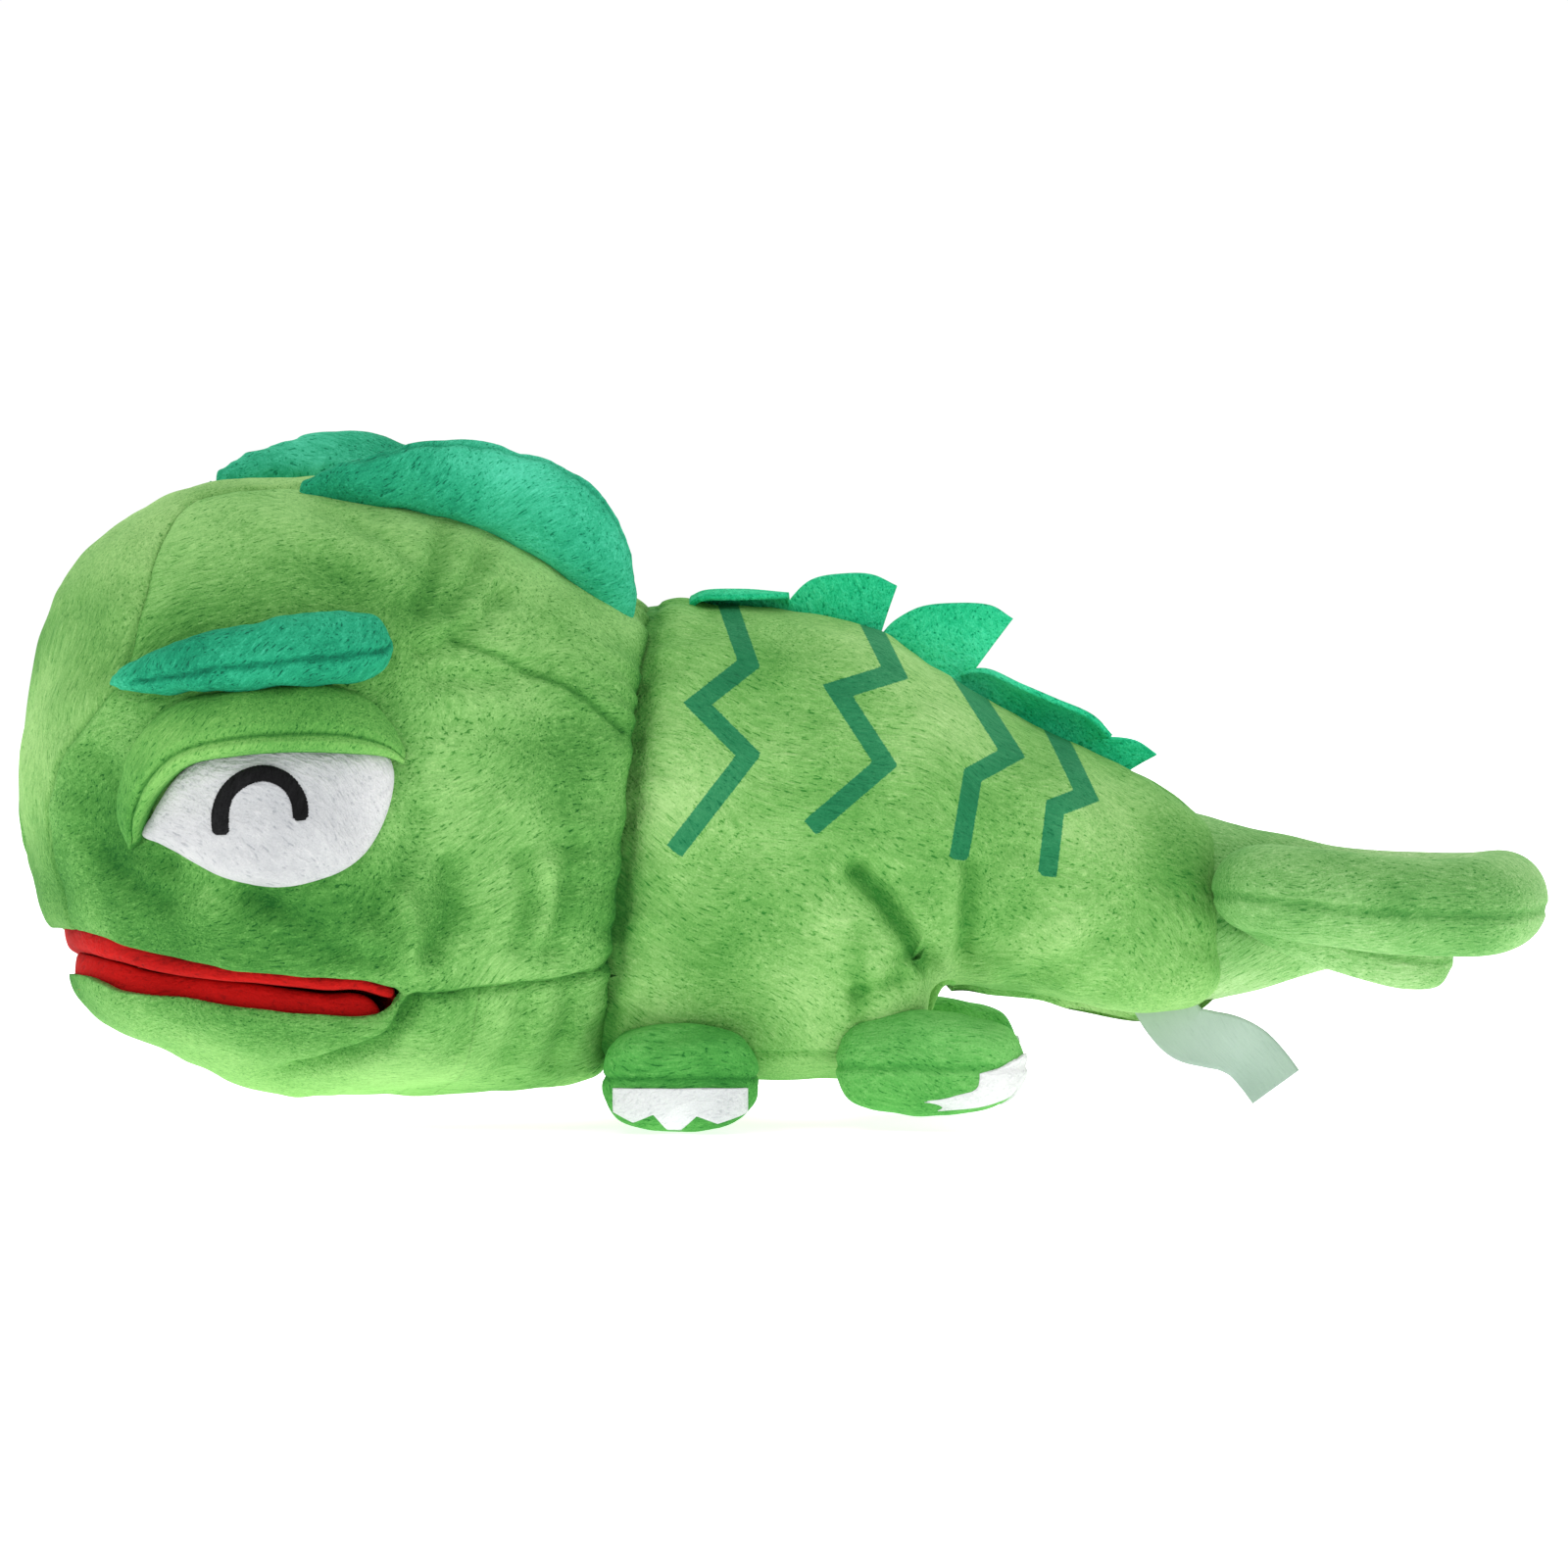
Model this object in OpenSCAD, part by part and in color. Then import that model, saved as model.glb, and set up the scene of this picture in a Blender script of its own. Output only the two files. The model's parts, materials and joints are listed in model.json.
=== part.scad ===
// Plush lizard hand puppet with a moving mouth, lying head to -X and feet down, +Z up, in millimetres.
// The origin is on the floor under the middle of the puppet.  Its left side is -Y.

/* [Head] */
// Turn of the head towards the puppet's left, in degrees
head_turn = 15; // [0:1:18]
// Height of the mouth corner above the floor
mouth_z = 30; // [29:0.5:31]
// Width of the forehead panel
gusset_w = 28; // [20:1:36]
// Height of the stuffed crest pads above the head
crest_h = 26; // [16:1:30]

// Thickness of the stuffing over the hand in the head
stuffing = 10; // [8:1:14]

/* [Body] */
// Thickness of the plush cloth with its backing
cloth = 3; // [2.4:0.1:3.2]
// Width of the hand opening in the belly
opening_w = 52; // [40:1:56]
// Height of the tallest felt fin on the back
fin_h = 17; // [8:1:19]

/* [Legs] */
// Width of a front foot
front_foot_w = 37; // [30:1:40]
// Length of a hind foot
hind_foot_l = 44; // [36:1:46]
// Thickness of the white felt claws
felt = 1.2; // [0.8:0.1:1.6]

/* [Hidden] */

sides = 28;                  // points round a cross-section
gap = 0.3;                   // room between pieces of one body
neck = [-39, 0, 65.5];       // centre that the head nods and turns about
neck_lean = 6;               // how far the neck seam leans back at its top, in degrees
origin = [-3.55, -13.32, 0]; // middle of the floor under the puppet
ball_r = 51.5;               // body cloth inside the neck
band_r = [51.9, 52.5];       // inner and outer radius of the neck band
socket_r = 53;               // inside of the head round the neck
corner_f = 60;               // mouth corner ahead of the neck centre
chin_r = 23.5;               // back of the chin round the mouth corner
throat_r = 24.5;             // front of the throat round the mouth corner
lip_f = 63;                  // back edge of the palate ahead of the neck centre
jaw_f = 66;                  // back edge of the jaw lining ahead of the neck centre
lip_z = mouth_z + 3.9;       // palate at its back edge
jaw_z = mouth_z - 4;         // jaw lining at its back edge
palate_slope = 9.8;          // rise of the palate towards the nose, in degrees
jaw_slope = 9.8;             // rise of the lower jaw, in degrees
far = 200;                   // longer than anything that is cut

GREEN = [0.45, 0.72, 0.36];
DARK_GREEN = [0.33, 0.66, 0.29];
TEAL = [0.12, 0.65, 0.45];
FELT = [0.05, 0.62, 0.38];
RED = [0.78, 0.08, 0.07];
WHITE = [0.9, 0.9, 0.9];
FIBRE = [0.95, 0.95, 0.9];
BOARD = [0.75, 0.7, 0.6];

// Head sections: distance ahead of the neck centre, top, widest height, bottom, half width
HEAD = [[144.5, 95.5, 83, 69.5, 10], [141, 111.5, 82, 51.5, 25], [135, 125.5, 80, 33.5, 36],
        [126, 137.5, 78, 25, 46.5], [115, 145, 76, 19.5, 54], [102, 149.5, 74, 13.5, 59.5],
        [88, 151.5, 73, 9, 62.5], [70, 151.5, 72, 7.4, 63.5], [50, 147.5, 71, 7.3, 63],
        [35, 141, 70, 8, 61.5], [20, 131.5, 68, 9, 59.3], [8, 124, 66, 9.5, 57.3],
        [0, 121.5, 65.5, 9.5, 56], [-9, 120.9, 65.5, 10.1, 55.4], [-22, 118, 65.5, 13, 52.5]];
// Body sections behind the neck: x, top, widest height, bottom, half width
BODY = [[-13, 121, 62, 11.5, 51.8], [-6, 122, 61, 10.5, 52], [2, 121.5, 60, 10.5, 51.5],
        [10, 119, 60, 11.5, 50.5], [20, 114, 60, 13, 49], [27, 109.5, 60, 16, 47.5], [30.5, 107.5, 62, 30, 46],
        [34, 106, 64, 32.5, 45], [45, 100, 63, 32, 42], [57, 93, 60, 30.5, 38.5], [70, 86.5, 56, 27, 33.5],
        [81, 80, 52, 24.5, 28], [90, 73.5, 49, 24.3, 22.5], [96, 69, 47, 25.5, 18.5]];
// Tail path: x, y, z, half width, half height
TAIL = [[98.5, 6, 47, 6, 10], [101, 6.5, 47, 9.5, 15], [106, 8, 47, 11.5, 17.5], [114, 10.5, 47, 12, 17.5],
        [126, 13.5, 48, 11, 15.5], [138, 15, 49.5, 10.5, 13], [149, 13, 50.5, 11, 11.5],
        [157.5, 7, 51, 11.3, 11.3], [162.5, -2, 51, 11.5, 11.4], [163.5, -12, 51, 11.5, 11.4],
        [160, -23, 51, 11.5, 11.4], [152, -30.5, 51, 11.5, 11.6], [140, -34, 51, 11.3, 12],
        [127, -34.5, 50.5, 11, 12.6], [116, -33, 50.5, 10.4, 12.8], [109.5, -28.2, 50.5, 9.6, 12.8],
        [107.8, -21.5, 49.5, 9, 12], [112.5, -15.5, 47.5, 8.6, 11], [121, -13, 44.5, 8.3, 10],
        [132, -12.5, 41, 8, 8.8], [142, -12.5, 37.5, 7.2, 8], [147.5, -12.5, 36, 5, 5.6]];
// Fins of the back crest: start and end along x, and height as a share of fin_h
FINS = [[-12, 1, 0.55], [1, 21, 0.75], [21, 41, 1], [41, 68, 0.75], [68, 80, 0.6]];

function sgnpow(v, e) = sign(v) * pow(abs(v), e);
function head_x(f) = neck[0] - f;
function lerp(a, b, t) = a + (b - a) * t;

// One closed cross-section of a form, grown outwards by grow
function section(x, row, grow, upper, lower) =
    [for (i = [0:sides - 1])
        let (a = 360 * (i + 0.5) / sides, c = cos(a), s = sin(a), e = 2 / (s >= 0 ? upper : lower),
             high = s >= 0 ? row[1] - row[2] : row[2] - row[3])
        [x, (row[4] + grow) * sgnpow(c, e), row[2] + (high + grow) * sgnpow(s, e)]];

// A row of a table at place x, by straight interpolation between its neighbours
function row_at(rows, x, i = 0) =
    (i >= len(rows) - 2 || (x - rows[i][0]) * (x - rows[i + 1][0]) <= 0)
        ? let (t = (x - rows[i][0]) / (rows[i + 1][0] - rows[i][0])) lerp(rows[i], rows[i + 1], t)
        : row_at(rows, x, i + 1);
function body_top(x) = row_at(BODY, x)[1];

function ball_row(f, r) =
    let (h = sqrt(r * r - f * f))
    [neck[0] - f, neck[2] + h, neck[2], neck[2] - h, h];
BALL = [for (f = [18:-6:-24]) ball_row(f, ball_r)];

// A closed solid through rings of points that follow one another
module loft(rings) {
    n = len(rings[0]);
    m = len(rings);
    points = [for (r = rings) each r];
    walls = [for (k = [0:m - 2], i = [0:n - 1])
                let (a = k * n + i, b = k * n + (i + 1) % n, c = b + n, d = a + n) each [[a, d, c], [a, c, b]]];
    start = [for (i = [1:n - 2]) [0, i, i + 1]];
    end = [for (i = [1:n - 2]) [(m - 1) * n, (m - 1) * n + i + 1, (m - 1) * n + i]];
    polyhedron(points = points, faces = concat(walls, start, end), convexity = 6);
}

// The outer form of head and chin together, grown by grow
module head_form(grow = 0) {
    kept = [for (r = HEAD) if (r[4] + grow > 4) r];
    loft([for (r = kept) section(head_x(r[0]) - (r[0] == HEAD[0][0] ? grow : 0), r, grow, 2.2, 2.4)]);
}

// The outer form of neck, body and haunch together, grown by grow; the neck is round
module body_form(grow = 0) {
    loft(concat([for (r = BALL) section(r[0], r, grow, 2, 2)],
                [for (r = BODY) section(r[0], r, grow, 2.2, 3.2)]));
}

// A prism across the head from points given as distance ahead of the neck centre and height
module across_head(outline) {
    rotate([90, 0, 0]) linear_extrude(far, center = true) polygon([for (p = outline) [head_x(p[0]), p[1]]]);
}

module corner_rod(r) {
    translate([head_x(corner_f), 0, mouth_z]) rotate([90, 0, 0])
        cylinder(r = r, h = far, center = true, $fn = 48);
}

module placed() {
    translate(-origin) children();
}

module in_head() {
    translate(neck) rotate([0, 0, head_turn]) translate(-neck) children();
}

// The plane of the neck seam, moved back by shift, for a piece drawn in the head's frame
module neck_plane(shift) {
    translate(neck) rotate([0, 0, -head_turn]) rotate([0, neck_lean, 0]) translate([shift, 0, 0]) children();
}

module other_side() {
    mirror([0, 1, 0]) children();
}

// ---------------------------------------------------------------- head cloth
module head_shell() {
    difference() {
        head_form();
        head_form(-cloth);
        neck_plane(3) translate([0, -far / 2, -far / 2]) cube(far);
        neck_plane(-11) rotate([0, 90, 0]) cylinder(r = socket_r - 1.6, h = 16, $fn = 64);
        translate(neck) sphere(r = socket_r, $fn = 64);
    }
}

module upper_shell() {
    difference() {
        head_shell();
        across_head([[-40, mouth_z + 0.6], [corner_f, mouth_z + 0.6], [lip_f, lip_z],
                     [170, lip_z + 107 * tan(palate_slope)], [170, -20], [-40, -20]]);
    }
}

module head_gusset() {
    color(GREEN) in_head() intersection() {
        upper_shell();
        translate([-far / 2, 0, far / 2]) cube([far * 2, gusset_w - gap, far * 2], center = true);
    }
}

module head_side() {
    color(GREEN) intersection() {
        upper_shell();
        translate([-far, -far - gusset_w / 2, -far / 2]) cube([far * 2, far, far * 2]);
    }
}

module throat_panel() {
    color(GREEN) in_head() difference() {
        intersection() {
            head_shell();
            across_head([[-40, mouth_z + 0.4], [corner_f, mouth_z + 0.4], [corner_f, -20], [-40, -20]]);
        }
        corner_rod(throat_r);
    }
}

// ---------------------------------------------------------------- mouth
module palate_frame() {
    translate([head_x(lip_f), 0, lip_z]) rotate([0, palate_slope, 0]) children();
}

module jaw_frame() {
    translate([head_x(jaw_f), 0, jaw_z]) rotate([0, jaw_slope, 0]) children();
}

// A slab in the palate's or jaw's own plane, reaching forwards, between two heights
module slab(back, front, low, high) {
    translate([-front, -far / 2, low]) cube([front - back, far, high - low]);
}

module palate_lining() {
    color(RED) in_head() intersection() {
        head_form(-cloth - gap);
        palate_frame() slab(1, 80, 0.2, 1.4);
    }
}

module upper_mouth_board() {
    color(BOARD) in_head() intersection() {
        head_form(-2 * cloth);
        palate_frame() slab(2, 80, 1.7, 3.4);
    }
}

pocket = [40, 72, 17];       // length, width and height of the finger pocket
module finger_pocket() {
    color(WHITE) in_head() palate_frame() difference() {
        translate([-6 - pocket[0], -pocket[1] / 2, 3.8]) cube(pocket);
        translate([-4.5 - pocket[0], -pocket[1] / 2 + 1.5, 5.3]) cube([far, pocket[1] - 3, pocket[2] - 3]);
    }
}

module mouth_fold() {
    color(RED) in_head() translate([head_x(corner_f), 0, mouth_z]) rotate([90, 0, 0])
        cylinder(r = 2.6, h = 86, center = true, $fn = 32);
}

module head_stuffing() {
    color(FIBRE) in_head() difference() {
        head_form(-cloth - 0.5);
        head_form(-cloth - stuffing);
        palate_frame() slab(-far, far, -far, 24);
        translate(neck) sphere(r = socket_r + 0.5, $fn = 48);
        translate([head_x(30), -far / 2, -10]) cube([far, far, far]);
    }
}

// ---------------------------------------------------------------- jaw
module chin_zone() {
    across_head([[corner_f, mouth_z - 0.8], [jaw_f, jaw_z], [170, jaw_z + 104 * tan(jaw_slope)],
                 [170, -20], [corner_f, -20]]);
    intersection() {
        corner_rod(chin_r);
        across_head([[corner_f + 0.5, mouth_z - 1], [corner_f + 0.5, -20], [corner_f - 22, -20],
                     [corner_f - 22, mouth_z - 23]]);
    }
}

module chin_panel() {
    color(GREEN) in_head() intersection() {
        difference() {
            head_form();
            head_form(-cloth);
        }
        chin_zone();
    }
}

module jaw_lining() {
    color(RED) in_head() intersection() {
        head_form(-cloth - gap);
        jaw_frame() slab(1, 80, -1.4, -0.2);
    }
}

module lower_mouth_board() {
    color(BOARD) in_head() intersection() {
        head_form(-2 * cloth);
        jaw_frame() slab(2, 80, -3.2, -1.7);
    }
}

module thumb_loop() {
    color(WHITE) in_head() jaw_frame() difference() {
        translate([-24, -15, -13.8]) cube([20, 30, 10.3]);
        translate([-far / 2, -13.8, -12.6]) cube([far, 27.6, 7.9]);
    }
}

module chin_stuffing() {
    color(FIBRE) in_head() intersection() {
        head_form(-cloth - 0.5);
        jaw_frame() slab(27, 62, -40, -3.6);
    }
}

// ---------------------------------------------------------------- face
eye = [98.5, 73];           // eye centre: distance ahead of the neck centre and height

// A prism through the side of the face at the eye, from a flat outline in the face's plane
module through_face() {
    translate([head_x(eye[0]), 0, eye[1]]) rotate([90, 0, 0]) linear_extrude(far) children();
}

function arc(rx, rz, from, to, steps) =
    [for (i = [0:steps]) let (a = lerp(from, to, i / steps)) [rx * cos(a), rz * sin(a)]];

module eye_outline() {
    polygon(concat(arc(27, 17, -180, 0, 16), [[27, 9], [20, 12.5], [0, 13], [-14, 9]]));
}

module lid_outline() {
    polygon(concat(arc(33, 26.3, 12, 186, 16),
                   [[-27.8, -0.8], [-23, 5.2], [-14.5, 9.9], [0, 13.9], [20, 13.4], [27.8, 9.8]]));
}

module raised(low, high) {
    intersection() {
        difference() {
            head_form(high);
            head_form(low);
        }
        through_face() children();
    }
}

module eye_white() {
    color(WHITE) raised(0.3, 1.8) eye_outline();
}

module pupil() {
    color([0.05, 0.05, 0.05]) raised(2, 2.8)
        translate([-2, 1]) polygon(concat(arc(11, 11, -5, 195, 14), arc(8, 8, 195, -5, 14)));
}

module eyelid() {
    color(DARK_GREEN) raised(0.3, 6) lid_outline();
}

// A point on the side of the head at distance f ahead of the neck centre and height z
function side_point(f, z, out) =
    let (r = row_at(HEAD, f), high = z >= r[2] ? r[1] - r[2] : r[2] - r[3], p = z >= r[2] ? 2.2 : 2.4,
         w = pow(max(0.02, 1 - pow(abs(z - r[2]) / high, p)), 1 / p))
    [head_x(f), -r[4] * w - out, z];

module brow() {
    stops = [for (i = [0:8])
        let (t = i / 8, f = lerp(131, 71, t), half = 1.6 + 6.9 * pow(sin(10 + 142 * t), 0.6))
        concat(side_point(f, 107 + 7 * t - 1.5 * sin(180 * t), 4.4), [half])];
    color(TEAL) difference() {
        loft([for (s = stops) [for (j = [0:11]) let (a = 30 * j)
            [s[0], s[1] + 0.62 * s[3] * cos(a), s[2] + s[3] * sin(a)]]]);
        head_form(gap);
    }
}

module crest() {
    foot = [84.5, 149];
    heel = [5, 116];
    lean = 30;
    steps = 12;
    across = 14;
    buried = 7;
    color(TEAL) difference() {
        loft([for (i = [0:steps])
            let (t = 0.02 + 0.96 * i / steps, h = 2 + crest_h * sin(180 * t), w = 2 + 7 * sqrt(sin(180 * t)),
                 f = lerp(foot[0], heel[0], t), z = lerp(foot[1], heel[1], t))
            [for (j = [0:across - 1])
                let (a = 360 * j / across, n = (h + buried) / 2 * (1 + sin(a)) - buried, s = w * cos(a))
                [head_x(f) + 0.37 * n * cos(lean), -27 - n * sin(lean) + s * cos(lean),
                 z + 0.93 * n * cos(lean) + s * sin(lean)]]]);
        head_form(gap);
    }
}

// ---------------------------------------------------------------- neck
module neck_band() {
    reach = 6.5;
    color(DARK_GREEN) translate(neck) rotate([0, 90 + neck_lean, 0]) rotate_extrude($fn = 64)
        intersection() {
            difference() {
                circle(r = band_r[1], $fn = 128);
                circle(r = band_r[0], $fn = 128);
            }
            translate([0, -reach]) square([far, 2 * reach]);
        }
}

// ---------------------------------------------------------------- body cloth
opening_x = [12, 36];        // front and back of the hand opening
opening_top = 31.8;          // roof of the cut for the hand opening
belly_z = 18;                // seam between the belly and the sides
belly_x = [-14.4, 28];       // front and back of the belly

module opening_tool(grow = 0) {
    r = 8;
    w = opening_w / 2 + grow - r;
    low = -5;
    front = opening_x[0] - grow;
    length = opening_x[1] - front;
    h = opening_top + grow - low;
    for (s = [-1, 1]) translate([front + r, s * w, low]) cylinder(r = r, h = h, $fn = 32);
    translate([front, -w, low]) cube([length, 2 * w, h]);
    translate([front + r, -w - r, low]) cube([length - r, 2 * (w + r), h]);
}

module body_shell() {
    difference() {
        body_form();
        intersection() {
            body_form(-cloth);
            translate([-far, -far / 2, 0]) cube([far + 96 - cloth, far, far]);
        }
        translate([-60, 0, neck[2]]) rotate([0, 90, 0]) cylinder(r = 48.2 - cloth, h = 8, $fn = 48);
        opening_tool(3.2);
    }
}

module body_panel() {
    color(GREEN) difference() {
        intersection() {
            body_shell();
            translate([-far, -far - gap / 2, -far / 2]) cube([far * 2, far, far * 2]);
        }
        translate([belly_x[0] - gap, -far / 2, -far + belly_z])
            cube([belly_x[1] - belly_x[0] + 2 * gap, far, far]);
    }
}

module belly_panel() {
    color(GREEN) intersection() {
        body_shell();
        translate([belly_x[0], -far / 2, -far + belly_z - gap])
            cube([belly_x[1] - belly_x[0], far, far]);
    }
}

module opening_hem() {
    color(DARK_GREEN) difference() {
        intersection() {
            body_form(0.8);
            opening_tool(3);
            translate([0, -far / 2, 0]) cube([35, far, 34]);
        }
        body_form(-cloth);
        opening_tool();
    }
}

module sleeve_lining() {
    color(WHITE) difference() {
        intersection() {
            body_form(-cloth - gap);
            translate([-54, -far / 2, 0]) cube([54 + 36.2, far, far]);
        }
        intersection() {
            body_form(-cloth - 1.3);
            translate([-far, -far / 2, 0]) cube([far + 35, far, far]);
        }
        translate([-60, 0, neck[2]]) rotate([0, 90, 0]) cylinder(r = 44, h = 8, $fn = 48);
        opening_tool(3.2);
    }
}

module hind_stuffing() {
    color(FIBRE) intersection() {
        body_form(-cloth - 0.4);
        translate([36.6, -far / 2, 0]) cube([96 - cloth - 37, far, far]);
    }
}

// ---------------------------------------------------------------- felt fins on the back
function fin(f) =
    let (w = f[1] - f[0], h = fin_h * f[2], slope = (body_top(f[1]) - body_top(f[0])) / w)
    [for (p = [[0.03, 0.14], [0.16, 0.62], [0.4, 0.94], [0.72, 1], [1.2, 0.9], [0.93, 0.14]])
        let (x = f[0] + p[0] * w)
            [x - slope * p[1] * h * 0.7, body_top(f[0]) + slope * (x - f[0]) + p[1] * h]];

module spine_crest() {
    start = FINS[0][0];
    stop = FINS[len(FINS) - 1][1];
    top = [for (i = [0:24]) let (x = lerp(start, stop, i / 24)) [x, body_top(x) + 4]];
    root = [for (i = [24:-1:0]) let (x = lerp(start, stop, i / 24)) [x, body_top(x) + 0.6]];
    color(FELT) rotate([90, 0, 0]) linear_extrude(1.6, center = true) {
        polygon(concat(top, root));
        for (f = FINS) polygon(fin(f));
    }
}

// ---------------------------------------------------------------- legs
rim_r = 61.3;                // room for the back rim of the head as it turns
front_leg_x = -24.5;         // middle of a front foot
front_y = [-31, -61];        // inner and outer end of a front foot
front_h = 23;                // height of a front foot

module front_leg_form(grow = 0) {
    steps = 7;
    loft([for (i = [0:steps])
        let (t = i / steps, y = lerp(front_y[0] + grow, front_y[1] - grow, t),
             end = t > 0.8 ? 1 - 0.34 * pow((t - 0.8) / 0.2, 2) : 1,
             w = front_foot_w / 2 * end + grow, h = (front_h - 3 * t) * end + grow)
        [for (j = [0:15])
            let (a = 22.5 * (j + 0.5), s = sin(a), c = cos(a))
            [front_leg_x + w * sgnpow(c, 0.5), y,
             max(-grow, (h + 2 * grow) / 2 * (1 + 1.12 * sgnpow(s, 0.6)) - grow)]]]);
}

// The corner of a front leg that the throat needs as the head nods down and turns
module throat_room(more = 0) {
    rotate([0, -50, 130]) translate([4.2 - more, -far / 2, -far / 2]) cube(far);
}

module front_leg() {
    color(DARK_GREEN) difference() {
        front_leg_form();
        front_leg_form(-2);
        body_form(2.2);
        throat_room();
        translate(neck) sphere(r = rim_r, $fn = 64);
    }
}

module front_leg_fill() {
    color(FIBRE) difference() {
        front_leg_form(-2.3);
        body_form(4.5);
        throat_room(2.2);
        translate(neck) sphere(r = rim_r + 2, $fn = 64);
    }
}

module front_claws() {
    w = 14.5;
    color(WHITE) translate([front_leg_x, front_y[1] - 0.4, 0.4]) rotate([90, 0, 0]) linear_extrude(felt)
        polygon([[-w, 10.6], [-w, 5], [-10, 2.6], [-6, 5], [-3, 0.2],
                 [0, 0], [3.5, 4.4], [8, 2.4], [w, 5], [w, 10.6]]);
}

hind_root = [12, -38];       // inner end of a hind foot
hind_turn = 14;              // how far a hind foot points outwards, in degrees
hind_h = 25;                 // height of a hind foot

module hind_leg_form(grow = 0) {
    steps = 9;
    translate([hind_root[0], hind_root[1], 0]) rotate([0, 0, -hind_turn])
        loft([for (i = [0:steps])
            let (t = i / steps, x = lerp(-grow, hind_foot_l + grow, t), swell = pow(sin(22 + 136 * t), 0.6),
                 w = 10.5 * swell + grow, h = hind_h * swell)
            [for (j = [0:15])
                let (a = 22.5 * (j + 0.5), s = sin(a), c = cos(a))
                [x, w * sgnpow(c, 0.7),
                 max(-grow, (h + 2 * grow) / 2 * (1 + 1.1 * sgnpow(s, 0.75)) - grow)]]]);
}

module hind_leg() {
    color(DARK_GREEN) difference() {
        hind_leg_form();
        hind_leg_form(-2);
        body_form(2.5);
    }
}

module hind_leg_fill() {
    color(FIBRE) difference() {
        hind_leg_form(-2.3);
        body_form(4.8);
    }
}

module hind_claws() {
    w = 8;
    color(WHITE) translate([hind_root[0], hind_root[1], 0.4]) rotate([0, 0, -hind_turn])
        translate([hind_foot_l + 0.5, 0, 0]) rotate([90, 0, 90]) linear_extrude(felt)
        polygon([[-w, 9.5], [-w, 4], [-5, 2], [-2.6, 4], [0, 0], [2.6, 4], [5, 2], [w, 4], [w, 9.5]]);
}

// ---------------------------------------------------------------- tail
function heading(path, i) =
    let (a = path[max(0, i - 1)], b = path[min(len(path) - 1, i + 1)],
         d = [b[0] - a[0], b[1] - a[1]]) d / norm(d);

module tail_form(grow = 0, skip = 0) {
    loft([for (i = [skip:len(TAIL) - 1 - skip])
        let (p = TAIL[i], d = heading(TAIL, i))
        [for (j = [0:11]) let (a = 30 * (j + 0.5), w = (p[3] + grow) * cos(a))
            [p[0] - d[1] * w, p[1] + d[0] * w, p[2] + (p[4] + grow) * sin(a)]]]);
}

module tail_skin() {
    color(GREEN) difference() {
        tail_form();
        tail_form(-2, 1);
    }
}

module tail_stuffing() {
    color(FIBRE) tail_form(-2.4, 1);
}

// ---------------------------------------------------------------- label
module care_label() {
    color(WHITE) translate([0, -2.5, 0]) rotate([90, 0, 0]) linear_extrude(0.5)
        polygon([[83.5, 23.5], [96, 23.5], [100.5, 18.5], [107, 15.5], [113.5, 8.5], [114.5, 5.2],
                 [105, 7.5], [100, 12.5], [90.5, 16]]);
}

placed() body_panel();  // body_panel_left
placed() other_side() body_panel();  // body_panel_right
placed() belly_panel();
placed() sleeve_lining();
placed() opening_hem();
placed() hind_stuffing();
placed() spine_crest();
placed() neck_band();
placed() in_head() head_side();  // head_side_left
placed() in_head() other_side() head_side();  // head_side_right
placed() head_gusset();
placed() throat_panel();
placed() head_stuffing();
placed() palate_lining();
placed() upper_mouth_board();
placed() finger_pocket();
placed() mouth_fold();
placed() in_head() eye_white();  // eye_white_left
placed() in_head() other_side() eye_white();  // eye_white_right
placed() in_head() pupil();  // pupil_left
placed() in_head() other_side() pupil();  // pupil_right
placed() in_head() eyelid();  // eyelid_left
placed() in_head() other_side() eyelid();  // eyelid_right
placed() in_head() brow();  // brow_left
placed() in_head() other_side() brow();  // brow_right
placed() in_head() crest();  // crest_left
placed() in_head() other_side() crest();  // crest_right
placed() chin_panel();
placed() jaw_lining();
placed() lower_mouth_board();
placed() thumb_loop();
placed() chin_stuffing();
placed() front_leg();  // front_leg_left
placed() other_side() front_leg();  // front_leg_right
placed() front_leg_fill();  // front_leg_fill_left
placed() other_side() front_leg_fill();  // front_leg_fill_right
placed() front_claws();  // front_claws_left
placed() other_side() front_claws();  // front_claws_right
placed() hind_leg();  // hind_leg_left
placed() other_side() hind_leg();  // hind_leg_right
placed() hind_leg_fill();  // hind_leg_fill_left
placed() other_side() hind_leg_fill();  // hind_leg_fill_right
placed() hind_claws();  // hind_claws_left
placed() other_side() hind_claws();  // hind_claws_right
placed() tail_skin();
placed() tail_stuffing();
placed() care_label();
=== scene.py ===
"""Plush lizard hand puppet: cloth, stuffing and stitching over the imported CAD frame, in metres."""

import json
import math

import bpy
import numpy as np
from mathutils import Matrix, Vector
from mathutils.bvhtree import BVHTree


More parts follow.
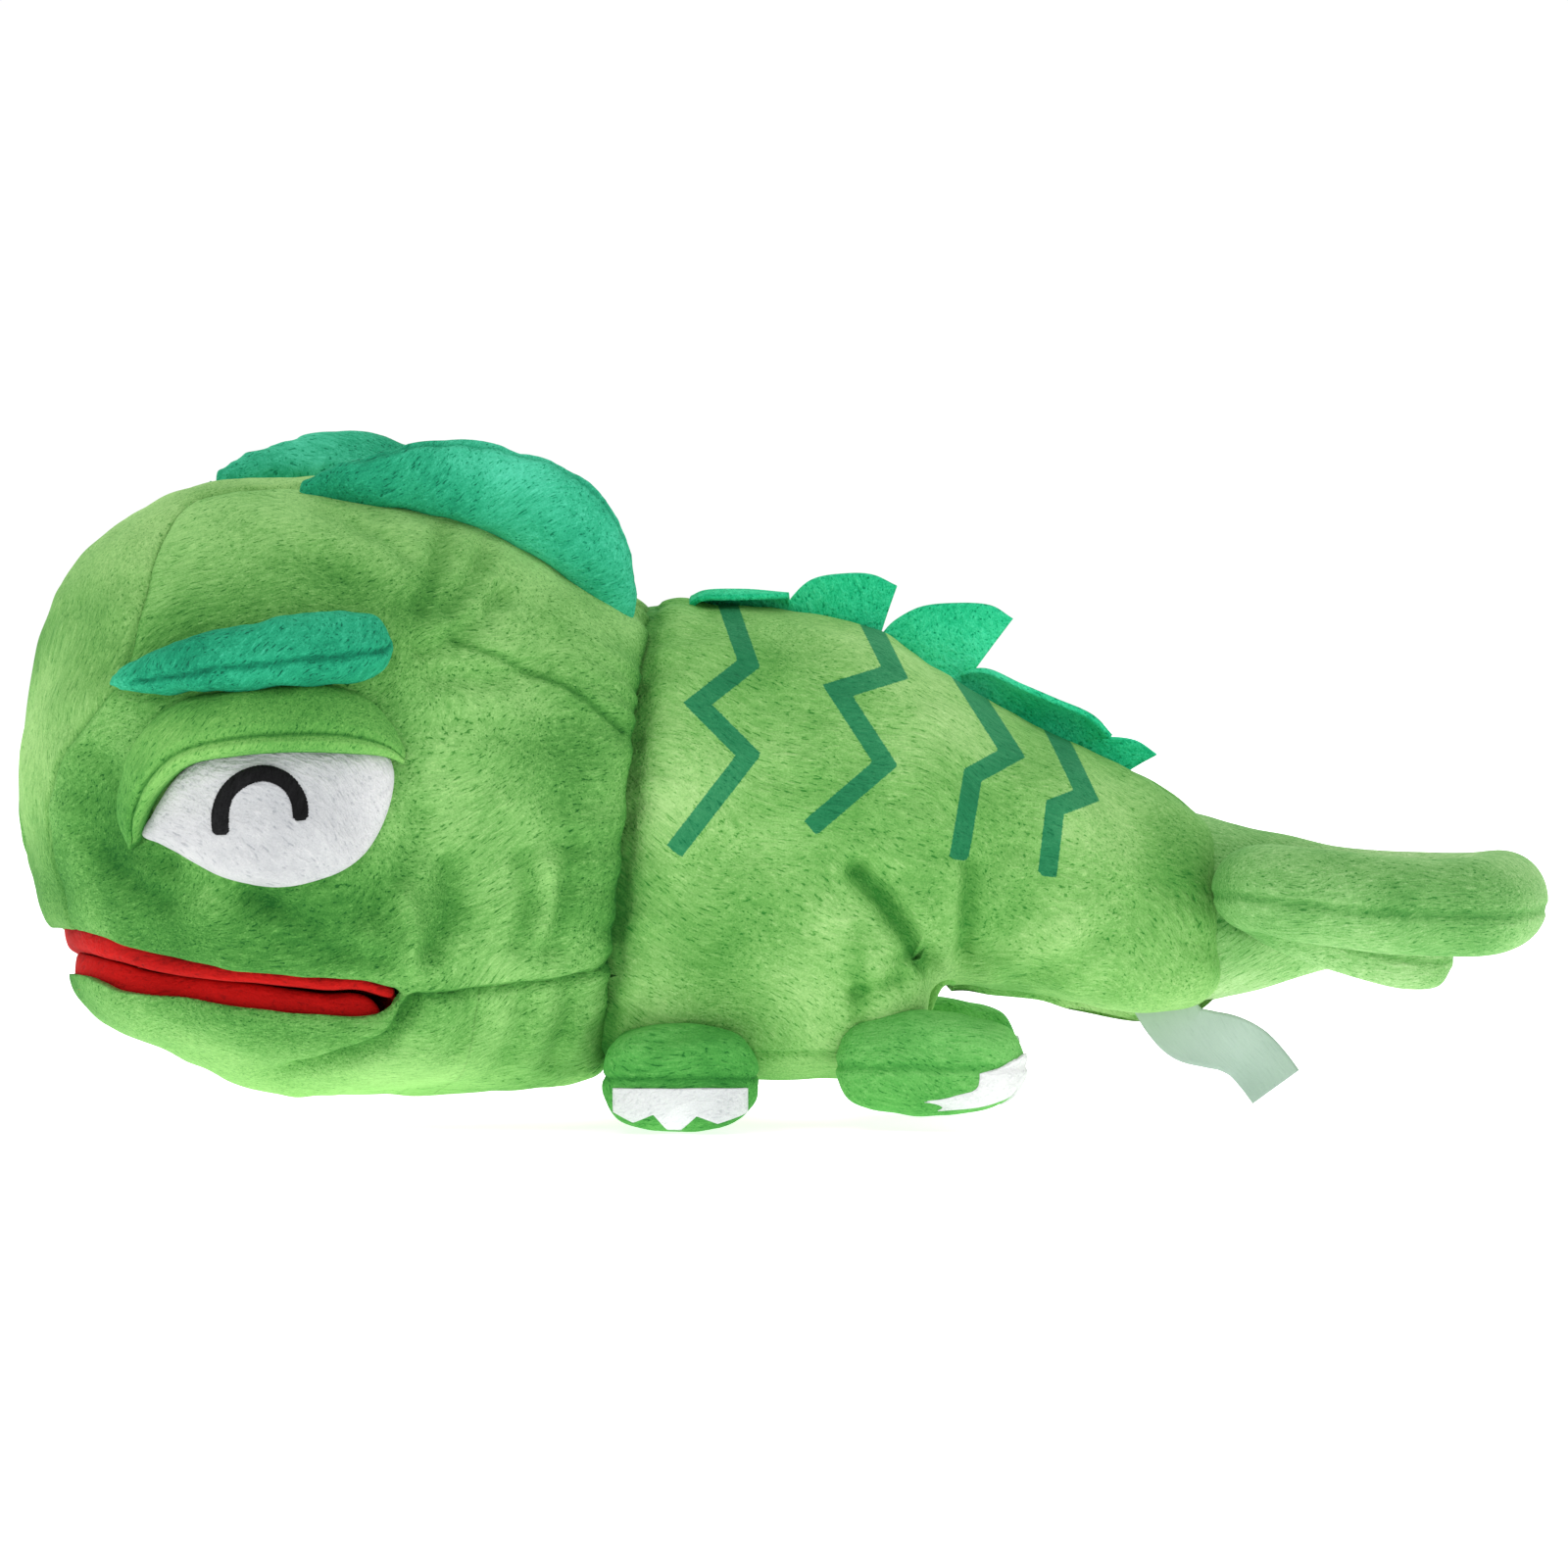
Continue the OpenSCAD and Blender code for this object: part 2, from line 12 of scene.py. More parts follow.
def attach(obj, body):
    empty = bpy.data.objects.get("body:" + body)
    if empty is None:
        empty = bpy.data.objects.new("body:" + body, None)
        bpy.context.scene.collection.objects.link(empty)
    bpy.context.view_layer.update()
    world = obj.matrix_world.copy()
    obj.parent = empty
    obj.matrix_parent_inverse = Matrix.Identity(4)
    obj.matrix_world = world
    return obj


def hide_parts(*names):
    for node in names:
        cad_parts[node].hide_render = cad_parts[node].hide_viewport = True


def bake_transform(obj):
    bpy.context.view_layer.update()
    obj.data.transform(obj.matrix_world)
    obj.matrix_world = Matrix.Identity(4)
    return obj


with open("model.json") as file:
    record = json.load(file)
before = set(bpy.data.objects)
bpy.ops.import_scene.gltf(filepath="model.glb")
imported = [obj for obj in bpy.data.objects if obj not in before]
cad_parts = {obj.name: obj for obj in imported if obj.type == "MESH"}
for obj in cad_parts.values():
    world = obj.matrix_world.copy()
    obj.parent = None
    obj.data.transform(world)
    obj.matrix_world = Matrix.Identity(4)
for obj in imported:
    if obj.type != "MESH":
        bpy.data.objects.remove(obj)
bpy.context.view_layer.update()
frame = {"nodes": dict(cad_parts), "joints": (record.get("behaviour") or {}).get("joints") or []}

# ---------------------------------------------------------------- sizes, in millimetres, before the shift to the row frame
NECK = np.array([-39.0, 0.0, 65.5])
ORIGIN = NECK - 1000 * np.array([j["pos_m"] for j in frame["joints"] if j["name"] == "neck_turn"][0])
TURN = math.radians(15)
LEAN = math.radians(6)
CORNER_F, CORNER_Z = 67.5, 31.8

# distance ahead of the neck, top, widest height, bottom, half width
HEAD = [[146.2, 84, 83, 82, 0.4], [143.7, 95.5, 84, 71.5, 12], [140.4, 111.5, 82, 54.5, 25.5], [134.6, 125.5, 80, 35.5, 36.5],
        [126, 137.5, 78, 25, 46.5], [115, 145, 76, 19.5, 54], [102, 149.5, 74, 13.5, 59.5], [88, 151.5, 73, 9, 62.5],
        [70, 151.5, 72, 7.4, 63.5], [50, 148, 71, 7.3, 63], [35, 142, 70, 8, 61.8], [20, 133.5, 68, 9, 60],
        [8, 127, 66, 9.5, 58.6], [0, 124.5, 65.5, 9.5, 57.4], [-9, 122.5, 65.5, 10.1, 56], [-24, 119, 65.5, 12, 53.5]]
BODY = [[-54, 122.5, 64, 13, 51.5], [-44, 124, 63.5, 12, 53], [-34, 124.3, 63, 11.3, 53.6], [-20, 123, 62, 10.8, 53.3],
        [-6, 122, 61, 10.5, 52.8], [8, 119.5, 60, 10.8, 51.5], [19, 115, 60, 12.2, 49.6], [26, 110.5, 60.5, 15, 48],
        [29, 108.5, 61, 21, 47.2], [31, 107.3, 62, 30, 46.4], [35, 105.4, 64, 32.8, 45], [45, 100, 63, 32, 42],
        [57, 93, 60, 30.5, 38.5], [70, 86.5, 56, 27.5, 33.5], [81, 80.5, 52, 26, 28.4], [90, 75, 50, 27, 23.5],
        [95.5, 71.2, 49.5, 29, 20], [98.6, 67, 49.5, 32, 16], [100.2, 58, 49.5, 41, 8]]
TAIL = [[80, 3.4, 51, 18, 18], [88, 4.4, 50.8, 21, 22.6], [95, 5.2, 50.4, 20.4, 22.2], [102, 6.6, 50, 17.8, 20.4],
        [108, 8, 49.8, 15.2, 18.8], [117, 10.8, 50.2, 12.8, 16.8], [128, 13.6, 50.4, 11.2, 14.2], [139, 15, 50.8, 10.8, 12.4],
        [149.5, 13, 51.6, 11, 11.5], [157.8, 7, 52, 11.4, 11.4], [162.8, -2, 52.2, 11.6, 11.6], [163.8, -12, 52.2, 11.6, 11.6],
        [160.4, -23, 52, 11.6, 11.6], [152, -31, 51.8, 11.6, 11.7], [140, -34.4, 52.2, 11.4, 11.7], [127, -34.8, 53.2, 11.1, 11.4],
        [116, -33.4, 54.6, 10.7, 11], [108.4, -28.6, 56, 10.2, 10.2], [106, -21, 55.2, 9.6, 9.8], [111, -14.8, 51.5, 9, 10],
        [120, -12.6, 47.4, 8.6, 9.6], [132, -12.3, 43.2, 8.2, 9], [143.4, -12.5, 40.2, 7.6, 8.3], [150, -12.5, 39.2, 5.8, 6.6],
        [153.2, -12.5, 39, 1.4, 1.8]]
LIP_UP = [(-60, 45), (0, 39.6), (19.4, 36.8), (40, 33.8), (56, 32), (66, 31.8), (71, 33.2), (76, 34.6), (86, 35.4), (103, 37), (112, 38.4),
          (119.5, 40.2), (125, 41.9), (129.5, 43.6), (133, 45), (138, 46.6), (150, 49)]
LIP_LOW = [(60, 32), (67.4, 31.8), (68.6, 30.4), (70.2, 28.6), (72.4, 27), (76, 26.2), (86, 26.6), (102, 27.6), (112, 28.7), (119, 30),
           (125, 31.4), (129.5, 32.8), (132, 34), (134.5, 35.6), (138, 37.8), (150, 42)]
ZIGZAGS = [[(-18, 126), (-11.6, 108.4), (-23.4, 99.2), (-11.6, 87.4), (-28.8, 65.2)],
           [(14.6, 122), (22.4, 106.2), (9, 102.2), (20, 85.3), (2.6, 70.6)],
           [(36.6, 108), (49.6, 87.4), (40.4, 82.6), (37, 63)],
           [(58, 97), (67, 77.6), (59.6, 75), (57.6, 59)]]


# ---------------------------------------------------------------- small mathematics
def hermite(rows, u, closed=False):
    """Smooth curve through rows at places u from 0 to 1, spaced evenly along it."""
    y = np.array(rows, float)
    if closed:
        y = np.vstack([y[-2:], y, y[:3]])
    step = np.sqrt(np.linalg.norm(np.diff(y, axis=0), axis=1)) + 1e-6
    t = np.concatenate([[0], np.cumsum(step)])
    h = np.diff(t)[:, None]
    d = np.diff(y, axis=0) / h
    m = np.vstack([d[:1], (d[:-1] * h[1:] + d[1:] * h[:-1]) / (h[1:] + h[:-1]), d[-1:]])
    start, stop = (t[2], t[-3]) if closed else (0, t[-1])

    def at(s):
        i = np.clip(np.searchsorted(t, s, "right") - 1, 0, len(h) - 1)
        k = ((s - t[i]) / h[i, 0])[:, None]
        return ((2 * k**3 - 3 * k**2 + 1) * y[i] + (k**3 - 2 * k**2 + k) * h[i] * m[i]
                + (3 * k**2 - 2 * k**3) * y[i + 1] + (k**3 - k**2) * h[i] * m[i + 1])

    fine = np.linspace(start, stop, 4000)
    run = np.concatenate([[0], np.cumsum(np.linalg.norm(np.diff(at(fine), axis=0), axis=1))])
    return at(np.interp(np.asarray(u) * run[-1], run, fine))


def power(v, e):
    return np.sign(v) * np.abs(v) ** e


def lumps(p, size, seed):
    """Smooth noise between about -1 and 1, with bumps of about that size in mm."""
    waves = np.random.default_rng(seed)
    out = np.zeros(len(p))
    for _ in range(22):
        k = waves.normal(size=3)
        k *= 2 * math.pi / (size * waves.uniform(0.7, 1.6)) / np.linalg.norm(k)
        out += np.sin(p @ k + waves.uniform(0, 6.28))
    return out / 4.7


def line_distance(a, b, points):
    """Distance of the places (a, b) from a line through points."""
    best = np.full(len(a), 1e9)
    for (x0, y0), (x1, y1) in zip(points[:-1], points[1:]):
        dx, dy = x1 - x0, y1 - y0
        t = np.clip(((a - x0) * dx + (b - y0) * dy) / (dx * dx + dy * dy), 0, 1)
        best = np.minimum(best, np.hypot(a - x0 - t * dx, b - y0 - t * dy))
    return best


def band_distance(a, b, points, half):
    """Distance from the middle of a printed band, with mitred corners and blunt ends where it reaches half."""
    best, last = np.full(len(a), 99.0), None
    p = np.array(points, float)
    for start, way in zip(p[:-1], np.diff(p, axis=0)):
        length = math.hypot(*way)
        way = way / length
        u = (a - start[0]) * way[0] + (b - start[1]) * way[1]
        w = np.abs((b - start[1]) * way[0] - (a - start[0]) * way[1])
        best = np.minimum(best, np.maximum(w, half + np.maximum(-u, u - length)))
        if last is not None:
            best = np.minimum(best, np.maximum(w, last))
        last = w
    return best


def bell(d, width):
    return np.exp(-((d / width) ** 2))


def smooth(t):
    t = np.clip(t, 0, 1)
    return t * t * (3 - 2 * t)


# ---------------------------------------------------------------- meshes
def head_space(p):
    """Points (distance ahead of the neck, sideways, height) to the shared frame."""
    f, y, z = p[..., 0], p[..., 1], p[..., 2]
    c, s = math.cos(TURN), math.sin(TURN)
    return np.stack([NECK[0] - f * c - y * s, -f * s + y * c, z], -1)


def grid_quads(n, m, wrap=True):
    i, j = np.meshgrid(np.arange(n - 1), np.arange(m if wrap else m - 1), indexing="ij")
    a, b = i * m + j, i * m + (j + 1) % m
    return np.stack([a, b, b + m, a + m], -1).reshape(-1, 4)


def add_mesh(name, verts, faces, material, attributes=None, flip=False):
    """A mesh object from points in mm; faces is an array or a list of index lists."""
    verts = (np.asarray(verts, float)[:, :3] - ORIGIN) * 0.001
    faces = [list(map(int, f))[::-1] if flip else list(map(int, f)) for f in faces]
    mesh = bpy.data.meshes.new(name)
    mesh.from_pydata(verts.tolist(), [], faces)
    mesh.update()
    mesh.shade_smooth()
    for key, values in (attributes or {}).items():
        mesh.attributes.new(key, "FLOAT", "POINT").data.foreach_set("value", np.asarray(values, np.float32))
    mesh.materials.append(material)
    obj = bpy.data.objects.new(name, mesh)
    bpy.context.scene.collection.objects.link(obj)
    return obj


def solidify(obj, thickness):
    bpy.context.view_layer.objects.active = obj
    mod = obj.modifiers.new("thickness", "SOLIDIFY")
    mod.thickness = thickness * 0.001
    mod.offset = -1
    with bpy.context.temp_override(object=obj, active_object=obj, selected_objects=[obj]):
        bpy.ops.object.modifier_apply(modifier=mod.name)
    obj.data.shade_smooth()
    return obj


def ring_solid(name, rings, material, attributes=None, flip=False):
    """A closed mesh through rings of points (n, m, 3), its two ends closed by a middle point."""
    n, m = rings.shape[:2]
    verts = np.vstack([rings.reshape(-1, 3), rings[0].mean(0), rings[-1].mean(0)])
    faces = grid_quads(n, m).tolist()
    faces += [[(j + 1) % m, j, n * m] for j in range(m)]
    faces += [[(n - 1) * m + j, (n - 1) * m + (j + 1) % m, n * m + 1] for j in range(m)]
    if attributes:
        attributes = {k: np.concatenate([v.ravel(), [v[0].mean(), v[-1].mean()]]) for k, v in attributes.items()}
    return add_mesh(name, verts, faces, material, attributes, flip)


def normals_of(p, wrap=True):
    """Outward unit normals of a grid of points (n, m, 3) whose rings turn one way."""
    du = np.gradient(p, axis=0)
    dv = (np.roll(p, -1, 1) - np.roll(p, 1, 1)) if wrap else np.gradient(p, axis=1)
    n = np.cross(du, dv)
    return n / (np.linalg.norm(n, axis=2, keepdims=True) + 1e-12)


def clip(v, f, g):
    """The part of a triangle mesh where g is positive; every column of v is carried along."""
    inside = g[f] >= 0
    count = inside.sum(1)
    faces = [f[count == 3]]
    size = len(v)
    edges, slots = [], []
    for wanted, alone in ((1, True), (2, False)):
        some = f[count == wanted]
        odd = np.argmax(inside[count == wanted] == alone, axis=1)
        a, b, c = (some[np.arange(len(some)), (odd + k) % 3] for k in range(3))
        edges.append((a, b, c, alone))
    keys = np.concatenate([np.concatenate([np.minimum(a, o) * size + np.maximum(a, o) for o in (b, c)]) for a, b, c, _ in edges])
    unique, back = np.unique(keys, return_inverse=True)
    low, high = unique // size, unique % size
    t = (g[low] / (g[low] - g[high]))[:, None]
    added = v[low] * (1 - t) + v[high] * t
    at = 0
    for a, b, c, alone in edges:
        ab = size + back[at:at + len(a)]
        ac = size + back[at + len(a):at + 2 * len(a)]
        at += 2 * len(a)
        if alone:
            faces.append(np.stack([a, ab, ac], 1))
        else:
            faces += [np.stack([ab, b, c], 1), np.stack([ab, c, ac], 1)]
    faces = np.vstack(faces)
    every = np.vstack([v, added])
    used, faces = np.unique(faces, return_inverse=True)
    return every[used], faces.reshape(-1, 3)


def surface(rows, n, m, upper, lower, close_first=False, close_last=False):
    """Grid (n, m, 3) of a form whose sections are rounded boxes, from rows of place, top, middle, bottom, half width."""
    r = hermite(rows, np.linspace(0, 1, n))
    a = np.linspace(0, 2 * math.pi, m, endpoint=False) + 0.5 * math.pi
    c, s = np.cos(a), np.sin(a)
    e = np.where(s >= 0, 2 / upper, 2 / lower)
    high = np.where(s >= 0, (r[:, 1] - r[:, 2])[:, None], (r[:, 2] - r[:, 3])[:, None])
    return np.stack([np.repeat(r[:, :1], m, 1), r[:, 4:5] * power(c, e), r[:, 2:3] + high * power(s, e)], -1)


def triangles(q):
    return np.vstack([q[:, [0, 1, 2]], q[:, [0, 2, 3]]])


# ---------------------------------------------------------------- materials
def srgb(r, g, b):
    return tuple((v / 255 / 12.92 if v <= 10 else ((v / 255 + 0.055) / 1.055) ** 2.4) for v in (r, g, b)) + (1,)


def plush(name, light, middle, dark, pile=1.0, slant=14, dash=(480, 2200), sheen=0.45, stripes=None, bump=0.5, zones=1.0):
    """Short pile cloth: zones where the pile lies another way, soft streaks, and fine light and dark dashes along the slant."""
    m = bpy.data.materials.new(name)
    m.use_nodes = True
    nt = m.node_tree
    nodes, link = nt.nodes, nt.links.new
    bsdf = nodes["Principled BSDF"]
    where = nodes.new("ShaderNodeTexCoord").outputs["Object"]

    def noise(vector, scale, detail, rough=0.5, output="Fac"):
        t = nodes.new("ShaderNodeTexNoise")
        t.inputs["Scale"].default_value = scale
        t.inputs["Detail"].default_value = detail
        t.inputs["Roughness"].default_value = rough
        link(vector, t.inputs["Vector"])
        return t.outputs[output]

    def maths(kind, a, b, clamp=False):
        t = nodes.new("ShaderNodeMath")
        t.operation = kind
        t.use_clamp = clamp
        for socket, v in zip(t.inputs, (a, b)):
            if isinstance(v, (int, float)):
                socket.default_value = v
            else:
                link(v, socket)
        return t.outputs[0]

    def vector(kind, a, b):
        t = nodes.new("ShaderNodeVectorMath")
        t.operation = kind
        link(a, t.inputs[0])
        if isinstance(b, tuple):
            t.inputs[1].default_value = b
        else:
            link(b, t.inputs[1])
        return t.outputs[0]

    def ramp(value, low, high):
        t = nodes.new("ShaderNodeMapRange")
        t.interpolation_type = "SMOOTHSTEP"
        t.inputs["From Min"].default_value = low
        t.inputs["From Max"].default_value = high
        link(value, t.inputs["Value"])
        return t.outputs["Result"]

    def along(v, scale):
        t = nodes.new("ShaderNodeMapping")
        t.inputs["Scale"].default_value = scale
        link(v, t.inputs["Vector"])
        return t.outputs["Vector"]

    def blend3(value, a, b, c):
        t = nodes.new("ShaderNodeValToRGB")
        t.color_ramp.interpolation = "B_SPLINE"
        stops = t.color_ramp.elements
        stops[0].color, stops[1].color = a, c
        stops[0].position, stops[1].position = 0.08, 0.92
        stops.new(0.5).color = b
        link(value, t.inputs["Fac"])
        return t.outputs["Color"]

    drift = vector("SUBTRACT", noise(where, 22, 1, output="Color"), (0.5, 0.5, 0.5))
    drift = vector("MULTIPLY", drift, (0.03, 0.03, 0.03))
    turn = nodes.new("ShaderNodeMapping")
    turn.inputs["Rotation"].default_value = (0, math.radians(slant), 0)
    link(vector("ADD", where, drift), turn.inputs["Vector"])
    lie = turn.outputs["Vector"]
    fine = noise(along(lie, (dash[0], dash[1], dash[1])), 1, 1)
    streak = noise(along(lie, (dash[0] * 0.5, dash[1] * 0.42, dash[1] * 0.42)), 1, 2)
    fibre = noise(where, 2400, 1)
    broad = noise(where, 24, 2)
    lights = ramp(fine, 0.60, 0.74)
    darks = ramp(fine, 0.40, 0.27)
    shade = nodes.new("ShaderNodeAttribute")
    shade.attribute_name = "shade"
    total = maths("MULTIPLY", maths("SUBTRACT", broad, 0.5), 1.15 * zones)
    total = maths("ADD", total, maths("MULTIPLY", maths("SUBTRACT", streak, 0.5), 0.42 * pile))
    total = maths("ADD", total, maths("MULTIPLY", maths("SUBTRACT", fibre, 0.5), 0.35 * pile))
    total = maths("ADD", total, maths("MULTIPLY", lights, 0.14 * pile))
    total = maths("SUBTRACT", total, maths("MULTIPLY", darks, 0.36 * pile))
    total = maths("ADD", total, maths("SUBTRACT", 0.53, maths("MULTIPLY", shade.outputs["Fac"], 0.8)), True)
    colour = blend3(total, dark, middle, light)
    if stripes:
        edge = nodes.new("ShaderNodeAttribute")
        edge.attribute_name = "stripe"
        ragged = maths("ADD", edge.outputs["Fac"], maths("MULTIPLY", maths("SUBTRACT", fibre, 0.5), 0.35))
        over = nodes.new("ShaderNodeMix")
        over.data_type = "RGBA"
        link(ramp(ragged, 2.4, 2.1), over.inputs["Factor"])
        link(colour, over.inputs["A"])
        link(blend3(total, *stripes), over.inputs["B"])
        colour = over.outputs["Result"]
    link(colour, bsdf.inputs["Base Color"])
    bsdf.inputs["Roughness"].default_value = 0.9
    bsdf.inputs["Specular IOR Level"].default_value = 0.2
    bsdf.inputs["Sheen Weight"].default_value = sheen
    bsdf.inputs["Sheen Roughness"].default_value = 0.4
    link(colour, bsdf.inputs["Sheen Tint"])
    height = maths("ADD", maths("MULTIPLY", fine, 0.6), maths("MULTIPLY", streak, 0.9))
    height = maths("ADD", height, maths("MULTIPLY", fibre, 0.25))
    bumps = nodes.new("ShaderNodeBump")
    bumps.inputs["Strength"].default_value = bump
    bumps.inputs["Distance"].default_value = 0.0012
    link(height, bumps.inputs["Height"])
    link(bumps.outputs["Normal"], bsdf.inputs["Normal"])
    return m


# The greens differ partly as the pile lies other ways and partly as painted light: the head's sides darker, the body
# lighter.
GREEN = plush("green_plush", srgb(172, 220, 138), srgb(86, 158, 66), srgb(28, 94, 32), slant=18)
BODY_GREEN = plush("body_plush", srgb(190, 228, 154), srgb(116, 182, 88), srgb(50, 126, 46), slant=-22,
                   stripes=(srgb(20, 104, 64), srgb(32, 126, 80), srgb(72, 158, 106)))
# The face's cloth is lighter partly as its pile lies another way and partly as painted light on the front of the face.
FACE_GREEN = plush("face_plush", srgb(176, 220, 140), srgb(106, 166, 80), srgb(48, 114, 44), slant=80)
TAIL_GREEN = plush("tail_plush", srgb(206, 232, 178), srgb(126, 188, 102), srgb(56, 126, 52), slant=8)
FOOT_GREEN = plush("foot_plush", srgb(146, 212, 124), srgb(80, 170, 72), srgb(34, 112, 42), slant=-12)
LID_GREEN = plush("lid_plush", srgb(156, 210, 118), srgb(92, 164, 72), srgb(36, 106, 38), slant=60)
TEAL = plush("teal_plush", srgb(96, 218, 180), srgb(26, 168, 120), srgb(4, 96, 70), slant=35, dash=(560, 2100))
RED = plush("red_knit", srgb(226, 30, 24), srgb(196, 12, 10), srgb(120, 4, 4), pile=0.55, slant=90, dash=(900, 620), sheen=0.08, bump=0.5)
WHITE = plush("white_plush", srgb(228, 228, 228), srgb(207, 208, 210), srgb(166, 169, 174), pile=0.9, slant=-30, dash=(380, 1300), bump=0.6)
FELT = plush("green_felt", srgb(92, 240, 186), srgb(14, 200, 136), srgb(4, 140, 94), pile=1.2, dash=(1300, 1500), bump=0.6)
WHITE_FELT = plush("white_felt", srgb(244, 244, 244), srgb(226, 227, 229), srgb(190, 193, 197), pile=0.7, dash=(900, 1200), bump=0.6)
COTTON = plush("white_cotton", srgb(238, 238, 234), srgb(222, 222, 216), srgb(188, 190, 184), pile=0.5, dash=(2200, 500), sheen=0.1)
BLACK = plush("black_thread", srgb(52, 52, 54), srgb(18, 18, 20), srgb(2, 2, 3), slant=80, dash=(300, 1600), sheen=0.1)
SATIN = plush("satin_ribbon", srgb(196, 212, 204), srgb(168, 188, 178), srgb(136, 158, 150), pile=0.3, dash=(2600, 300), sheen=0.15, bump=0.15)


# ---------------------------------------------------------------- head
def table(points):
    """A smooth function through the points of a short table."""
    fine = hermite(points, np.linspace(0, 1, 1200))
    places = np.maximum.accumulate(fine[:, 0]) + np.arange(len(fine)) * 1e-9
    return lambda x: np.interp(x, places, fine[:, 1])


cheek_line = table(LIP_UP)    # height of the upper lip, and behind the mouth corner of the seam between cheek and throat
low_table = table(LIP_LOW)


def jaw_line(f):
    return np.where(f < CORNER_F, cheek_line(f) - 0.01, np.minimum(low_table(f), cheek_line(f) - 0.01))


def gusset_half(f, z):
    """Half width of the panel over the crown, which widens over the front of the face, carrying its lighter cloth
    there; that lightness is partly painted light.
    """
    return 14 + 24 * smooth((f - 106) / 26) * smooth((z - 70) / 40)


def neck_depth(design):
    """Distance behind the plane of the neck seam."""
    return (design[:, 0] - NECK[0]) * math.cos(LEAN) - (design[:, 2] - NECK[2]) * math.sin(LEAN)


CHEEK_FOLDS = [  # places (ahead, height), width, depth, shade
    ([(138, 78), (130, 66), (118, 60), (104, 52)], 5, 2.2, 0.1), ([(104, 56), (92, 49), (82, 44)], 3, 1.8, 0.14), ([(98, 46), (84, 41), (74, 40)], 2.6, 1.5, 0.18),
    ([(66, 74), (70, 62), (76, 53)], 4, 1.4, 0.12), ([(60, 62), (58, 52), (62, 43)], 3.5, 2.0, 0.18),
    ([(42, 64), (39, 54), (41, 44)], 3, 1.5, 0.15), ([(30, 66), (31, 54), (34, 43)], 3, 1.4, 0.13),
    ([(64, 112), (54, 116), (42, 125)], 2.6, 1.7, 0.15), ([(62, 106), (50, 105), (34, 108)], 2.6, 1.2, 0.1),
    ([(56, 114), (48, 111), (29, 104), (15, 94)], 0.9, 0.8, 0.24), ([(53, 140), (58, 131), (63, 122)], 2.6, 2.0, 0.2),
    ([(43, 136), (50, 128), (57, 121)], 2.4, 1.6, 0.15), ([(81, 145), (73, 140), (65, 134)], 3, 1.2, 0.1), ([(136, 88), (128, 76), (122, 64)], 3.2, 1.5, 0.12),
    ([(139, 70), (131, 60), (122, 54)], 2.4, 1.2, 0.12), ([(86, 132), (74, 126), (66, 118)], 4, 0.8, 0.08)]
CHEEK_RIDGES = [([(112, 54), (94, 46), (80, 46)], 4, 1.2), ([(70, 56), (67, 48), (67.5, 41)], 2.6, 2.0), ([(36, 62), (35.5, 54), (37, 46)], 2.6, 1.1),
                ([(60, 116), (50, 121)], 3, 1.3), ([(126, 72), (112, 56)], 5, 0.8)]
CHIN_FOLDS = [([(65, 30), (70, 22), (84, 15), (96, 10)], 2.4, 3.4, 0.34), ([(52, 34), (50, 26), (53, 18)], 3, 1.4, 0.12),
              ([(40, 34), (38, 26), (40, 17)], 3, 1.3, 0.12), ([(28, 35), (27, 26), (28, 16)], 3, 1.2, 0.1),
              ([(130, 32), (112, 27), (92, 23.5), (80, 22.5)], 1.6, 0.9, 0.14)]


def head_detail(h, design):
    """Distance outwards, and shade, of the head's cloth at places h in the head's own frame."""
    f, y, z = h.T
    side = smooth((np.abs(y) - 20) / 16)
    behind = np.clip(-neck_depth(design), 0, None)
    angle = np.arctan2(design[:, 2] - NECK[2], design[:, 1])
    lip = z - cheek_line(f)
    chin = jaw_line(f) - z
    mouth = smooth((f - CORNER_F) / 2)
    out = -3.4 * np.exp(-behind / 2.6) - 1.6 * np.exp(-behind / 9)
    out += 0.9 * np.exp(-behind / 10) * np.sin(angle * 34 + 3 * lumps(h, 40, 3))
    out -= mouth * (3.0 - 1.6 * smooth((f - 116) / 14)) * (np.exp(-np.abs(lip) / 1.5) * (lip > -0.1) + np.exp(-np.abs(chin) / 1.5) * (chin > -0.1))
    seam = bell(lip, 1.1) * (1 - smooth((f - CORNER_F + 3) / 3))
    gusset = bell(np.abs(y) - gusset_half(f, z), 1.2) * (z > 44)
    out -= 1.5 * seam + 0.8 * gusset
    shade = 0.35 * seam + 0.10 * gusset + 0.45 * np.exp(-behind / 1.8)
    calm = 1 - mouth * np.maximum(np.exp(-(lip / 5) ** 2), np.exp(-(chin / 5) ** 2))
    upper, lower = smooth((lip + 1) / 2) * calm, smooth((1 - lip) / 2) * calm
    for folds, where in ((CHEEK_FOLDS, upper * side), (CHIN_FOLDS, lower * side)):
        for points, width, deep, dark in folds:
            near = bell(line_distance(f, z, points), width) * where
            out -= 1.25 * deep * near
            shade += 1.2 * dark * near
    for points, width, high in CHEEK_RIDGES:
        near = bell(line_distance(f, z, points), width) * side * upper
        out += 1.2 * high * near
        shade -= 0.12 * near
    out += 0.9 * lumps(h, 44, 11) * smooth((behind - 3) / 10) + 0.22 * lumps(h, 9, 12)
    shade += 0.16 * np.exp(-((f - 84) / 46) ** 2 - ((z - 56) / 16) ** 2) * side - 0.3 * smooth((z - 112) / 34) - 0.34 * smooth((30 - z) / 18)
    return out, shade


